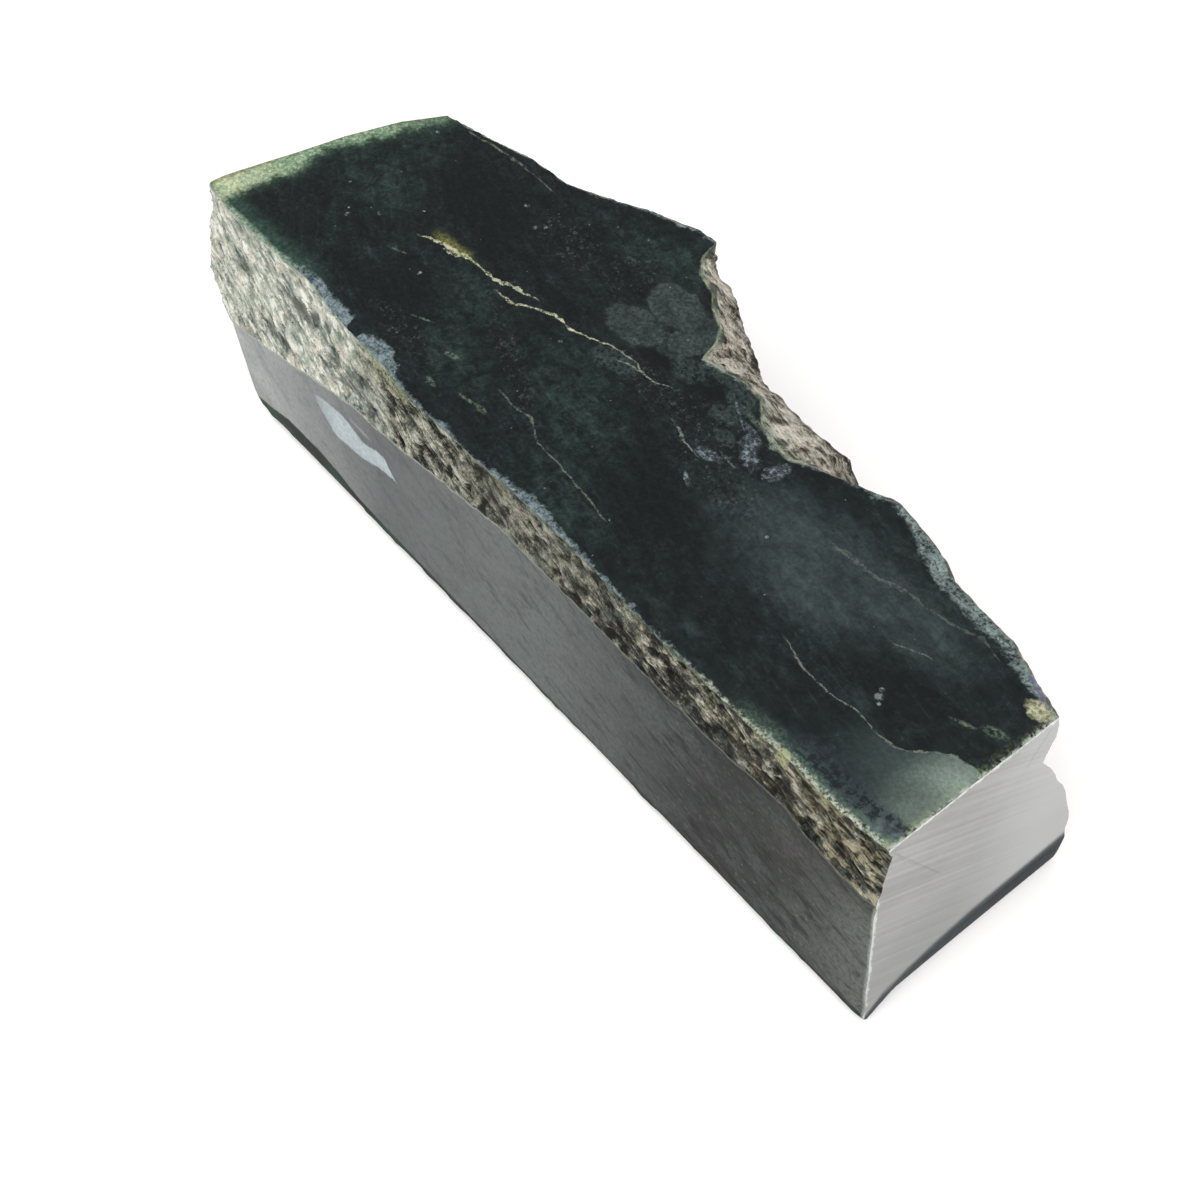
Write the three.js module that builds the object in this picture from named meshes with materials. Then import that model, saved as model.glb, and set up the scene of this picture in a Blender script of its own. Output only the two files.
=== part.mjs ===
// A raw block of nephrite jade: a long piece of boulder, sawn flat on top, below, along one side
// and across one end, with the boulder's weathered rind left on the back, the far end and in a
// band along the top of the sawn side. It is one stone, so it is one solid.
//
// Millimetres, +Z up. +X runs along the stone to the sawn end and -Y faces the sawn side.

import * as THREE from "three";

const NODE_NAME = "jade_boulder";

// Driving sizes.
const HEIGHT = 86; // floor to the sawn top
const SIDE_Y = -57.5; // plane of the long sawn side
const END_X = 154; // the sawn end at floor level
const END_LEAN = 0.07; // how far the sawn end leans back for each millimetre of height
const FOOT_HEIGHT = 3.5; // worn edge along the foot of the sawn side
const FOOT_DEPTH = 1.5;
const UNDERCUT_DEPTH = 3; // how far the rough foot of the sawn end runs back under it
const UNDERCUT_CURVE = 1.6; // 1 would be a straight chamfer
const CRAG = 0.9; // unevenness of the rind

// Colour of the stone as a whole.
const STONE_COLOUR = 0x47524d;
const STONE_ROUGHNESS = 0.6;

// Front edge of the sawn top, [x, y], from the far end to the sawn end.
const FRONT_EDGE = [
  [-148, -52], [-137, -54], [-114, -53.5], [-95, -52.5], [-76, -55], [-54, -55.5], [-43, -57],
  [-20, -57], [0, -56], [25, -55.5], [60, -56.5], [95, -57], [118, -56], [131, -56.5], [150, -55],
];

// Back edge of the sawn top, [x, y], with the lobe, the notch and the chips broken out of it.
const BACK_EDGE = [
  [-127, 22], [-116, 24.5], [-106, 27], [-96, 30], [-79, 31.5], [-68, 36], [-54, 43], [-38, 49],
  [-31, 49.5], [-29.5, 43], [-24.5, 37.5], [-16, 35], [-11.5, 31], [-4.5, 27.5], [-1, 23],
  [1, 15.5], [7, 17], [16, 19], [23.5, 18], [30, 12.5], [37, 9.5], [44.5, 9], [51, 12.5],
  [60, 16], [74, 21.5], [82, 20.5], [96, 17], [102, 14], [117, 12.5], [125, 12], [137, 7.5],
  [148, 4],
];

// Far edge of the sawn top, [y, x], and how far the far end stands out from it, [z, dx].
const FAR_EDGE = [
  [-56, -148], [-48, -147.5], [-32, -144.5], [-8, -139.5], [9, -134], [22, -127], [36, -119],
];
const FAR_SWELL = [
  [0, 18], [2, 13], [7, 8.5], [15, 7], [24, 5], [32, 2], [42, -2], [52, -5.5], [61, -4.5],
  [72, -2], [80, -1], [HEIGHT, 0],
];

// Where the band of rind ends and the sawn side begins, [x, z].
const RIND_FOOT = [
  [-150, 34], [-121, 40], [-90, 50], [-70, 55], [-50, 57], [-32, 61], [0, 67], [90, 65],
  [116, 68], [125, 64], [155, 61],
];

// The weathered back: y at these heights for each [x, y...], under the back edge of the top.
const BACK_HEIGHTS = [75, 65, 54, 40, 25, 10, 0];
const BACK_STATIONS = [
  [-127, 21, 23, 26, 30, 32, 31, 26],
  [-106, 26, 28, 31, 35, 37, 36, 31],
  [-79, 31, 33, 37, 41, 43, 42, 37],
  [-54, 43, 45, 48, 51, 53, 52, 47],
  [-35, 50, 52, 54, 56.5, 57.5, 57, 52],
  [-22, 47.5, 49.5, 52, 55.5, 57.5, 56.5, 51],
  [-12, 41, 44.5, 46.5, 50, 53, 52, 47],
  [0, 33, 38.5, 41.5, 46, 49, 48.5, 43],
  [12, 28, 33.5, 40, 45, 47.5, 46.5, 41],
  [24, 28, 35, 41, 45.5, 47.5, 46.5, 41],
  [38, 28.5, 35, 40, 45.5, 47, 46, 41],
  [46, 27, 31.5, 36, 44, 46, 45, 40],
  [54, 19, 21, 27, 36, 40, 40, 35],
  [64, 17, 17, 21, 29, 35, 36, 32],
  [82, 19, 18.5, 21, 28, 33, 34, 30],
  [100, 13.5, 13, 16, 23, 29, 31, 27],
  [120, 11, 10, 13, 20, 26, 28, 25],
  [136, 7, 6, 9.5, 16, 22, 24, 21],
  [150, 4, 2, 6, 13, 17, 19.5, 20],
];

// Height of the sawn end's lower edge above the floor, [y, z].
const END_FOOT = [[-57, 1], [-49, 8], [-38, 10.5], [-23, 13.5], [-5, 14], [20, 14.5]];

/** Value at x on the straight lines between the [x, value] points, held at both ends. */
function along(points, x) {
  const next = points.findIndex(([px]) => px > x);
  if (next === 0) return points[0][1];
  if (next < 0) return points[points.length - 1][1];
  const [x0, v0] = points[next - 1];
  const [x1, v1] = points[next];
  return v0 + ((v1 - v0) * (x - x0)) / (x1 - x0);
}

/** y of the back at x and z. */
function backY(x, z) {
  const levels = [[HEIGHT, along(BACK_EDGE, x)]];
  BACK_HEIGHTS.forEach((level, i) => {
    levels.push([level, along(BACK_STATIONS.map((row) => [row[0], row[i + 1]]), x)]);
  });
  return along(levels.reverse(), z);
}

/** x of the far end at y and z. */
const farX = (y, z) => along(FAR_EDGE, y) + along(FAR_SWELL, z);

/** x of the sawn end at height z. */
const endX = (z) => END_X - END_LEAN * z;

/** Low swells and hollows of the rind, between -CRAG and CRAG. */
const crag = (x, s) =>
  (CRAG / 2) * (Math.sin(0.23 * x + 0.31 * s) + Math.sin(0.11 * x - 0.19 * s + 1.3));

/** Points t of the way through a span, leaving out its start. */
const steps = (count) => Array.from({ length: count }, (_, i) => (i + 1) / count);

// The lengthwise lines of the skin, going round a section from the foot of the sawn side, up
// that side, over the top, down the back and along the floor. Each gives [y, z] at x.
const footLine = () => [SIDE_Y + FOOT_DEPTH, 0];
const sideLine = (t) => (x) => {
  const z = FOOT_HEIGHT + t * (along(RIND_FOOT, x) - FOOT_HEIGHT);
  return [SIDE_Y, z];
};
const rindLine = (t) => (x) => {
  const low = along(RIND_FOOT, x);
  const z = low + t * (HEIGHT - low);
  const hollow = t < 1 ? 0.6 + crag(x, z) : 0;
  return [SIDE_Y + t * (along(FRONT_EDGE, x) - SIDE_Y) + Math.max(hollow, 0), z];
};
const topLine = (t) => (x) => {
  const front = along(FRONT_EDGE, x);
  return [front + t * (along(BACK_EDGE, x) - front), HEIGHT];
};
const backLine = (z) => (x) => [backY(x, z) + (z > 0 ? crag(x, z) : 0), z];
const floorLine = (t) => (x) => {
  const front = SIDE_Y + FOOT_DEPTH;
  return [backY(x, 0) + t * (front - backY(x, 0)), 0];
};

const LINES = [
  footLine,
  sideLine(0),
  ...steps(3).map(sideLine),
  ...steps(5).map(rindLine),
  ...steps(5).map(topLine),
  ...[80, 75, 70, 65, 59, 54, 47, 40, 32, 25, 17, 10, 4, 0].map(backLine),
  ...steps(5).slice(0, -1).map(floorLine),
];

// Places along the stone, 0 at the far end and 1 at the sawn end: one at each point of the back
// edge, and a few close together where the foot of the sawn end curves under.
const BACK_FIRST = BACK_EDGE[0][0];
const BACK_LAST = BACK_EDGE[BACK_EDGE.length - 1][0];
const PLACES = BACK_EDGE.slice(0, -1).map(([x]) => (x - BACK_FIRST) / (BACK_LAST - BACK_FIRST));
const NEAR_END = [1, 0.6, 0.25, 0].map((part) => 1 - (part * UNDERCUT_DEPTH) / (2 * END_X));

/** One point of the skin, place along the stone and line round it. */
function skinPoint(place, line) {
  const [farY, farZ] = line(BACK_FIRST);
  const [endY, endZ] = line(END_X);
  const start = farX(farY, farZ);
  const finish = endX(endZ);
  const [y, z] = line(start + place * (finish - start));
  const gap = (1 - place) * 2 * END_X;
  const under = Math.max(0, 1 - gap / UNDERCUT_DEPTH) ** UNDERCUT_CURVE;
  const lift = under * along(END_FOOT, endY) * (1 - z / HEIGHT);
  const liftedEnd = endX(endZ + lift);
  return [start + place * (liftedEnd - start), y, z + lift];
}

const CAP_RINGS = 6;

/** Closed skin of the stone: the lines and places as a net, and a cap over each end. */
function stoneGeometry() {
  const points = [];
  const faces = [];
  const count = LINES.length;
  const places = [...PLACES, ...NEAR_END];
  for (const place of places) {
    for (const line of LINES) points.push(skinPoint(place, line));
  }
  for (let i = 0; i + 1 < places.length; i += 1) {
    for (let j = 0; j < count; j += 1) {
      const a = i * count + j;
      const b = i * count + ((j + 1) % count);
      faces.push(a, a + count, b + count, a, b + count, b);
    }
  }
  addCap(points, faces, 0, (y, z) => farX(y, z) + crag(2 * y, z), false);
  addCap(points, faces, (places.length - 1) * count, (y, z) => endX(z), true);

  const geometry = new THREE.BufferGeometry();
  geometry.setAttribute("position", new THREE.Float32BufferAttribute(points.flat(), 3));
  geometry.setIndex(faces);
  return geometry;
}

/** Rings that shrink from the ring starting at point first to its middle, on the face xAt(y, z). */
function addCap(points, faces, first, xAt, outwardX) {
  const count = LINES.length;
  const ring = points.slice(first, first + count);
  const middleY = ring.reduce((sum, p) => sum + p[1], 0) / count;
  const middleZ = HEIGHT / 2;
  const addFace = (a, b, c) => faces.push(a, outwardX ? b : c, outwardX ? c : b);
  let outer = first;
  for (let r = 1; r < CAP_RINGS; r += 1) {
    const inner = points.length;
    const keep = 1 - r / CAP_RINGS;
    for (const [, ringY, ringZ] of ring) {
      const y = middleY + keep * (ringY - middleY);
      const z = middleZ + keep * (ringZ - middleZ);
      points.push([xAt(y, z), y, z]);
    }
    for (let j = 0; j < count; j += 1) {
      const k = (j + 1) % count;
      addFace(outer + j, inner + j, inner + k);
      addFace(outer + j, inner + k, outer + k);
    }
    outer = inner;
  }
  const middle = points.length;
  points.push([xAt(middleY, middleZ), middleY, middleZ]);
  for (let j = 0; j < count; j += 1) addFace(outer + j, middle, outer + ((j + 1) % count));
}

/** Moves the stone so that the middle of its box stands on the origin. */
function standOnOrigin(geometry) {
  geometry.computeBoundingBox();
  const middle = geometry.boundingBox.getCenter(new THREE.Vector3());
  geometry.translate(-middle.x, -middle.y, -geometry.boundingBox.min.z);
}

const geometry = stoneGeometry();
standOnOrigin(geometry);
geometry.computeVertexNormals();

const material = new THREE.MeshStandardMaterial({
  color: STONE_COLOUR,
  roughness: STONE_ROUGHNESS,
  metalness: 0,
  flatShading: true,
});

const stone = new THREE.Mesh(geometry, material);
stone.name = NODE_NAME;

const jade = new THREE.Group();
jade.add(stone);

export default jade;
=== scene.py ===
"""The looks of a raw jade boulder: a long block of nephrite sawn from a boulder, standing on its
sawn underside. Millimetres are used while a shape is worked out, and metres in the finished mesh."""

from math import cos, radians, sin

import bpy
import numpy as np
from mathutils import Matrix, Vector


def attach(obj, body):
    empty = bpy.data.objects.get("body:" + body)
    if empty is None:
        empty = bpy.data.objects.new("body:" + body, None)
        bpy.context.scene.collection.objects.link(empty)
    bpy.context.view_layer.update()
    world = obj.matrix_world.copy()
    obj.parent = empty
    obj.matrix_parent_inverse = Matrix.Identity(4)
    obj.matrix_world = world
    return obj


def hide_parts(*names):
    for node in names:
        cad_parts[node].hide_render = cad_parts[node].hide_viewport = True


bl_info = {
    "name": "Raw jade boulder",
    "version": (1, 0, 0),
    "blender": (4, 5, 0),
    "location": "3D View > Sidebar > Jade",
    "description": "Makes a sawn block of raw jade with its weathered rind, and a plain studio",
    "category": "Object",
}

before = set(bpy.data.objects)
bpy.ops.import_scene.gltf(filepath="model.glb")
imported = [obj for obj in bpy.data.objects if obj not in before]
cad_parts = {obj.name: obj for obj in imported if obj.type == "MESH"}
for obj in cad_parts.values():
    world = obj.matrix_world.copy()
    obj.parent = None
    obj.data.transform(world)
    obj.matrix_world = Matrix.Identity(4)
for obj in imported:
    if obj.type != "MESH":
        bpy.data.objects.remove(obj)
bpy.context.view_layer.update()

MM = 0.001
NODE = "jade_boulder"

# Sizes of the solid, as in the CAD part.
HEIGHT = 86.0
SIDE_Y = -57.5
END_X = 154.0
END_LEAN = 0.07
FOOT_HEIGHT = 3.5
FOOT_DEPTH = 1.5
UNDERCUT_DEPTH = 3.0
UNDERCUT_CURVE = 1.6
CRAG = 0.9

# Front edge of the sawn top, (x, y), from the far end to the sawn end.
FRONT_EDGE = [
    (-148, -52), (-137, -54), (-114, -53.5), (-95, -52.5), (-76, -55), (-54, -55.5), (-43, -57),
    (-20, -57), (0, -56), (25, -55.5), (60, -56.5), (95, -57), (118, -56), (131, -56.5), (150, -55),
]

# Back edge of the sawn top, (x, y).
BACK_EDGE = [
    (-127, 22), (-116, 24.5), (-106, 27), (-96, 30), (-79, 31.5), (-68, 36), (-54, 43), (-38, 49),
    (-31, 49.5), (-29.5, 43), (-24.5, 37.5), (-16, 35), (-11.5, 31), (-4.5, 27.5), (-1, 23),
    (1, 15.5), (7, 17), (16, 19), (23.5, 18), (30, 12.5), (37, 9.5), (44.5, 9), (51, 12.5),
    (60, 16), (74, 21.5), (82, 20.5), (96, 17), (102, 14), (117, 12.5), (125, 12), (137, 7.5),
    (148, 4),
]

# Far edge of the sawn top, (y, x), and how far the far end stands out from it, (z, dx).
FAR_EDGE = [
    (-56, -148), (-48, -147.5), (-32, -144.5), (-8, -139.5), (9, -134), (22, -127), (36, -119),
]
FAR_SWELL = [
    (0, 18), (2, 13), (7, 8.5), (15, 7), (24, 5), (32, 2), (42, -2), (52, -5.5), (61, -4.5),
    (72, -2), (80, -1), (HEIGHT, 0),
]

# Where the band of rind ends and the sawn side begins, (x, z).
RIND_FOOT = [
    (-150, 34), (-121, 40), (-90, 50), (-70, 55), (-50, 57), (-32, 61), (0, 67), (90, 65),
    (116, 68), (125, 64), (155, 61),
]

# The weathered back: y at these heights for each row of x, y..., under the back edge of the top.
BACK_HEIGHTS = [75, 65, 54, 40, 25, 10, 0]
BACK_STATIONS = [
    (-127, 21, 23, 26, 30, 32, 31, 26),
    (-106, 26, 28, 31, 35, 37, 36, 31),
    (-79, 31, 33, 37, 41, 43, 42, 37),
    (-54, 43, 45, 48, 51, 53, 52, 47),
    (-35, 50, 52, 54, 56.5, 57.5, 57, 52),
    (-22, 47.5, 49.5, 52, 55.5, 57.5, 56.5, 51),
    (-12, 41, 44.5, 46.5, 50, 53, 52, 47),
    (0, 33, 38.5, 41.5, 46, 49, 48.5, 43),
    (12, 28, 33.5, 40, 45, 47.5, 46.5, 41),
    (24, 28, 35, 41, 45.5, 47.5, 46.5, 41),
    (38, 28.5, 35, 40, 45.5, 47, 46, 41),
    (46, 27, 31.5, 36, 44, 46, 45, 40),
    (54, 19, 21, 27, 36, 40, 40, 35),
    (64, 17, 17, 21, 29, 35, 36, 32),
    (82, 19, 18.5, 21, 28, 33, 34, 30),
    (100, 13.5, 13, 16, 23, 29, 31, 27),
    (120, 11, 10, 13, 20, 26, 28, 25),
    (136, 7, 6, 9.5, 16, 22, 24, 21),
    (150, 4, 2, 6, 13, 17, 19.5, 20),
]

# Height of the sawn end's lower edge above the floor, (y, z).
END_FOOT = [(-57, 1), (-49, 8), (-38, 10.5), (-23, 13.5), (-5, 14), (20, 14.5)]

# How steeply the stone's layers fall towards the sawn end, (x, slope), and how they lean back.
LAYER_SLOPE = [(-160, 1.05), (-110, 0.85), (-60, 0.5), (0, 0.4), (80, 0.32), (160, 0.25)]
LAYER_LEAN = 1.3

# Veins in the sawn top: (x, y, half width) along each, and how strongly it shows.
VEINS = {
    "cream_vein": (
        1.0,
        [(-89, -16.5, 0.04), (-87.5, -14.6, 0.2), (-82, -13.2, 0.5), (-79, -13.4, 1.2), (-76, -12.6, 0.9),
         (-72.6, -10.9, 0.4), (-70, -10.9, 0.06), (-67, -10.6, 0.1), (-64, -10.7, 0.3), (-60.6, -10.9, 0.3),
         (-58.5, -9.5, 0.5), (-54.8, -7.7, 0.4), (-51, -7.7, 0.3), (-47.3, -5.9, 0.05)],
    ),
    "cream_strand": (
        1.0,
        [(-56, -12.9, 0.05), (-52, -12.9, 0.4), (-50, -12.6, 0.45), (-46.2, -9.9, 0.15),
         (-40.8, -7.2, 0.25), (-37.9, -5.7, 0.4), (-34, -5.9, 0.15), (-31.8, -6.1, 0.2),
         (-27.6, -4.8, 0.12), (-22.4, -3, 0.1), (-19.9, -1.5, 0.06)],
    ),
    "strand_end": (
        0.7,
        [(-22, -3, 0.06), (-19.9, -1.5, 0.12), (-10.3, 0.2, 0.12), (-5, -1.1, 0.1), (-0.5, -0.9, 0.06),
         (3.5, 1.3, 0.03)],
    ),
    "strand_loop": (0.7, [(-14, -3.8, 0.1), (-9.8, -1.8, 0.12), (-5.3, -0.9, 0.04)]),
    "crystal_vein": (0.55, [(14.2, -6, 0.1), (20.3, -8.5, 0.3), (26.7, -9.4, 0.05)]),
    "front_vein": (
        0.42,
        [(-25, -36, 0.06), (-18, -36.8, 0.2), (-12, -35.6, 0.2), (-4, -40, 0.06), (5, -40, 0.08),
         (11, -41, 0.15), (21, -42, 0.12), (28, -43, 0.04)],
    ),
    "short_vein": (0.35, [(106, -12, 0.04), (110, -10, 0.15), (115, -8, 0.04)]),
    "end_vein": (
        0.55,
        [(88, -32, 0.03), (97, -35, 0.08), (106, -35, 0.1), (115, -33.2, 0.06), (122, -34, 0.06),
         (128, -33.7, 0.14), (131.8, -31.6, 0.2), (136, -26.6, 0.1), (139.5, -24.2, 0.14),
         (145, -22.8, 0.1)],
    ),
    "back_streak": (
        0.22,
        [(72, -2, 0.1), (80, -1, 0.6), (88, -0.8, 0.3), (96.8, 2.2, 0.5), (103.8, 2.7, 0.15),
         (112.8, 4.1, 0.2), (119.6, 6.7, 0.25), (126.3, 4.9, 0.05)],
    ),
    "far_line": (0.4, [(-116, 23, 0.1), (-104, 25, 0.25), (-93, 26, 0.2), (-80, 26, 0.05)]),
}

# Outline of the pale lens in the sawn side, (x, z), above and below.
LENS_TOP = [
    (-95, 40.5), (-92, 42.2), (-88, 43.2), (-80, 44.8), (-76, 44), (-72, 42.3), (-68.5, 41),
    (-65, 42.5), (-61, 44), (-57, 44), (-55, 41), (-51, 36.5),
]
LENS_FOOT = [
    (-95, 41.5), (-92.5, 37), (-90, 34.7), (-86, 30.5), (-83, 30), (-78, 31), (-74, 31.2), (-69, 32.4),
    (-62, 35.5), (-56, 36.8), (-51, 37.5),
]

# Height of the thin pale stroke above the lens.
STROKE_Z = 46.4

# How steeply the saw lines fall across the sawn end.
SAW_TILT = radians(30)

# Upper border of the dark band along the foot of the sawn side, (x, z).
FOOT_BAND = [
    (-145, 5), (-126, 8), (-115, 11.2), (-97, 11.5), (-87, 10), (-76, 7), (-60, 6.4), (-40, 6),
    (0, 5.4), (60, 5), (120, 5.4), (150, 6),
]

# How far in the far end stands at the sawn side, beyond what the solid has, (z, dx).
FAR_TRIM = [
    (0, 4.5), (7, 5), (15, 4.5), (24, 5), (31, 6.5), (34.5, 7.5), (36.5, 2.5), (46, 0.5), (62, 0),
    (70, -1.4), (80, -2), (86, -1),
]

# Depth of the pale, grainy crust along the edges of the sawn top.
FRONT_CRUST = [
    (-148, 1.5), (-125, 1.2), (-112, 0.8), (-102, 1.5), (-95, 2.5), (-85, 3.2), (-78, 4),
    (-74.5, 3.8), (-73, -0.5), (-69, -1.2), (-67, 3.4), (-62, 5), (-57, 5.2), (-52, 3), (-46, 0.6),
    (-40, 0.6), (-33, 0), (-29, 1), (-24, 1), (-18, 0), (-6, 0), (0, 1.5), (8, 2.6), (18, 2.8),
    (26, 1), (60, 0), (80, 0.6), (100, 1.0), (107, 1.8), (112, 1.8), (118, 1.0), (136, 1.2), (146, 1.6),
]
BACK_CRUST = [
    (-127, -1), (-60, 0.2), (-50, 0.8), (-36, 0.6), (-20, 0), (0, 0.4), (20, 1), (36, 1), (50, 0),
    (62, 0), (68, 1.5), (74, 1.5), (82, 2.5), (87, 4.5), (96, 5.5), (104, 4), (112, 4), (120, 4),
    (130, 3.5), (138, 3), (146, 2),
]
FAR_CRUST = [
    (-56, 8), (-45, 7.5), (-35, 7), (-28, 7.5), (-22, 5), (-18, 2.5), (-14, 3), (-5, 4), (5, 4.5),
    (12, 4), (20, 3), (30, 1.5),
]


# ---------------------------------------------------------------- settings


def size_setting(name, description, default, **limits):
    """A size in millimetres with a name and a description."""
    description += ", in millimetres"
    return bpy.props.FloatProperty(name=name, description=description, default=default, **limits)


class JadeShapeSettings(bpy.types.PropertyGroup):
    """Sizes of the stone's surface, in millimetres."""

    relief: size_setting(
        "Rind relief", "Depth of the crevices between the fibres of the rind", 1.5, min=0.0, max=4.0
    )
    ridge_length: size_setting(
        "Ridge length", "Length of the rind's ridges along the layers", 7.0, min=1.0
    )
    ridge_width: size_setting("Ridge width", "Width of the rind's ridges", 1.9, min=0.2)
    edge_wear: size_setting(
        "Edge wear", "How much is broken off the sawn edges", 0.5, min=0.0, max=2.0
    )
    stations: bpy.props.IntProperty(
        name="Stations", description="Points of the mesh along the stone", default=430, min=40, max=500
    )


def colour_setting(name, description, default):
    """A colour with a name and a description, shown as a swatch in the panel."""
    return bpy.props.FloatVectorProperty(
        name=name, description=description, default=default, subtype="COLOR", size=3, min=0.0, max=1.0
    )


class JadeColourSettings(bpy.types.PropertyGroup):
    """Colours of the stone."""

    deep: colour_setting("Deep jade", "Darkest jade of the polished top", (0.0030, 0.0055, 0.0062))
    green: colour_setting("Green jade", "Cloudy green of the polished top", (0.0130, 0.0215, 0.0230))
    vein: colour_setting("Vein", "Cream of the veins", (0.38, 0.385, 0.26))
    skin: colour_setting(
        "Skin", "Pale green of the weathered skin where the saw cut through it", (0.39, 0.43, 0.27)
    )
    sawn: colour_setting("Sawn grey", "Dull grey of the sawn side", (0.110, 0.119, 0.118))
    end: colour_setting("Sawn end", "Dusty pale grey of the sawn end", (0.30, 0.30, 0.295))
    cream: colour_setting("Cream rind", "Palest fibres of the rind", (0.52, 0.52, 0.45))


class JadeStudioSettings(bpy.types.PropertyGroup):
    """The plain studio round the stone."""

    surround: bpy.props.FloatProperty(
        name="Surround",
        description="Strength of the even light from all round",
        default=0.45,
        min=0.0,
    )
    lamps: bpy.props.FloatProperty(
        name="Lamps",
        description="Strength of the soft lamps, as a share of their usual power",
        default=1.0,
        min=0.0,
    )
    lens: bpy.props.FloatProperty(
        name="Lens",
        description="Focal length of the camera's lens, in millimetres",
        default=60.3,
        min=10.0,
        subtype="DISTANCE_CAMERA",
    )


# ---------------------------------------------------------------- shape


def between(points, at):
    """Values at these places, on the straight lines between the (place, value) points."""
    places, values = np.array(points, float).T
    return np.interp(at, places, values)


def eased(value, low, high):
    """0 below low, 1 above high, and the curve 3t^2 - 2t^3 between them."""
    t = np.clip((value - low) / (high - low), 0, 1)
    return t * t * (3 - 2 * t)


def scattered(cells, seed):
    """A fixed number from -1 to 1 for each cell, from its whole coordinates times large primes."""
    mixed = cells[..., 0] * 73856093 ^ cells[..., 1] * 19349663 ^ cells[..., 2] * 83492791
    mixed = (mixed ^ seed * 2654435) & 0xFFFFFFFF
    mixed = (mixed ^ (mixed >> 15)) * 739982445 & 0xFFFFFFFF
    mixed = (mixed ^ (mixed >> 13)) * 695872825 & 0xFFFFFFFF
    return ((mixed ^ (mixed >> 16)) & 0xFFFF) / 32767.5 - 1


def noise(points, seed):
    """Smooth noise from -1 to 1: a fixed number at each corner of a lattice of unit cells, and
    between the corners a blend weighted by 3t^2 - 2t^3 along each axis."""
    cell = np.floor(points).astype(np.int64)
    part = points - cell
    part = part * part * (3 - 2 * part)
    total = np.zeros(points.shape[:-1])
    for corner in np.ndindex(2, 2, 2):
        weight = np.prod(np.where(corner, part, 1 - part), axis=-1)
        total += weight * scattered(cell + corner, seed)
    return total


def ridges(points, seed):
    """Noise folded at its middle, so that it has crests: 1 on a crest, falling to 0."""
    return 1 - np.abs(noise(points, seed)) * 1.6


def back_y(x, z):
    """y of the back: that of the top's back edge, plus for each pair of heights the change of y
    between them times the share of the way down from the upper to the lower one."""
    rows = np.array(BACK_STATIONS, float)
    levels = [between(BACK_EDGE, x)]
    levels += [np.interp(x, rows[:, 0], rows[:, i + 1]) for i in range(len(BACK_HEIGHTS))]
    heights = [HEIGHT, *BACK_HEIGHTS]
    y = levels[0] + 0 * z
    for i, (upper, lower) in enumerate(zip(heights, heights[1:])):
        y = y + np.clip((upper - z) / (upper - lower), 0, 1) * (levels[i + 1] - levels[i])
    return y


def far_x(y, z):
    """x of the far end: its edge along the top plus its swell at this height."""
    return between(FAR_EDGE, y) + between(FAR_SWELL, z)


def end_x(z):
    """x of the sawn end, which leans back as it rises."""
    return END_X - END_LEAN * z


def crag(x, s):
    """Low swells of the rind: half the sum of two sine waves across each other."""
    return CRAG / 2 * (np.sin(0.23 * x + 0.31 * s) + np.sin(0.11 * x - 0.19 * s + 1.3))


# The bands of the skin, going round a section from the foot of the sawn side, up that side, over
# the top, down the back and along the floor. Each gives y and z at x for the shares t.


def foot_band(x, t):
    """Worn foot: straight from the floor line to the bottom of the sawn side."""
    return SIDE_Y + FOOT_DEPTH * (1 - t) + 0 * x, FOOT_HEIGHT * t + 0 * x


def side_band(x, t):
    """Sawn side: upright, from the foot to where the rind begins."""
    return SIDE_Y + 0 * x * t, FOOT_HEIGHT + t * (between(RIND_FOOT, x) - FOOT_HEIGHT)


def rind_band(x, t):
    """Rind over the side: from the sawn side up to the front edge, hollowed by the low swells."""
    low = between(RIND_FOOT, x)
    z = low + t * (HEIGHT - low)
    hollow = np.maximum(0.6 + crag(x, z), 0) * np.minimum(1, 8 * t) * np.minimum(1, 8 * (1 - t))
    return SIDE_Y + t * (between(FRONT_EDGE, x) - SIDE_Y) + hollow, z


def top_band(x, t):
    """Sawn top: straight across from the front edge to the back edge, flat."""
    front = between(FRONT_EDGE, x)
    return front + t * (between(BACK_EDGE, x) - front), HEIGHT + 0 * x * t


def back_band(x, t):
    """Weathered back: back_y plus the low swells, t of the way down from the top to the floor."""
    z = HEIGHT * (1 - t) + 0 * x
    return back_y(x, z) + crag(x, z) * np.minimum(1, 10 * t) * np.minimum(1, 10 * (1 - t)), z


def floor_band(x, t):
    """Sawn underside: straight from the back to the foot of the sawn side, flat."""
    front = SIDE_Y + FOOT_DEPTH
    back = back_y(x, 0 * x)
    return back + t * (front - back), 0 * x * t


def even(count):
    """Evenly spaced shares from just past 0 to 1."""
    return np.arange(1, count + 1) / count


def crowded_ends(count):
    """Shares from just past 0 to 1 that crowd towards both ends, as half of 1 - cos."""
    return (1 - np.cos(np.pi * even(count))) / 2


def crowded_start(count):
    """Shares from just past 0 to 1 that crowd towards the start, as a power of 1.6."""
    return even(count) ** 1.6


# Name, shares and function of each band, and the material of its faces.
DULL, RIND, POLISHED, SAWN_END = range(4)
BANDS = [
    ("foot", even(3), foot_band, DULL),
    ("side", crowded_ends(12), side_band, DULL),
    ("rind", even(62), rind_band, RIND),
    ("top", crowded_ends(30), top_band, POLISHED),
    ("back", crowded_start(58), back_band, RIND),
    ("floor", even(6), floor_band, DULL),
]
SHARES = {name: shares[None, :] for name, shares, _, _ in BANDS}


def band_columns():
    """For each band, the slice of the skin's columns that it fills. Column 0 is the floor line."""
    found, first = {}, 1
    for name, shares, _, _ in BANDS:
        found[name] = slice(first, first + len(shares))
        first += len(shares)
    found["floor"] = slice(found["floor"].start, first - 1)
    return found


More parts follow.
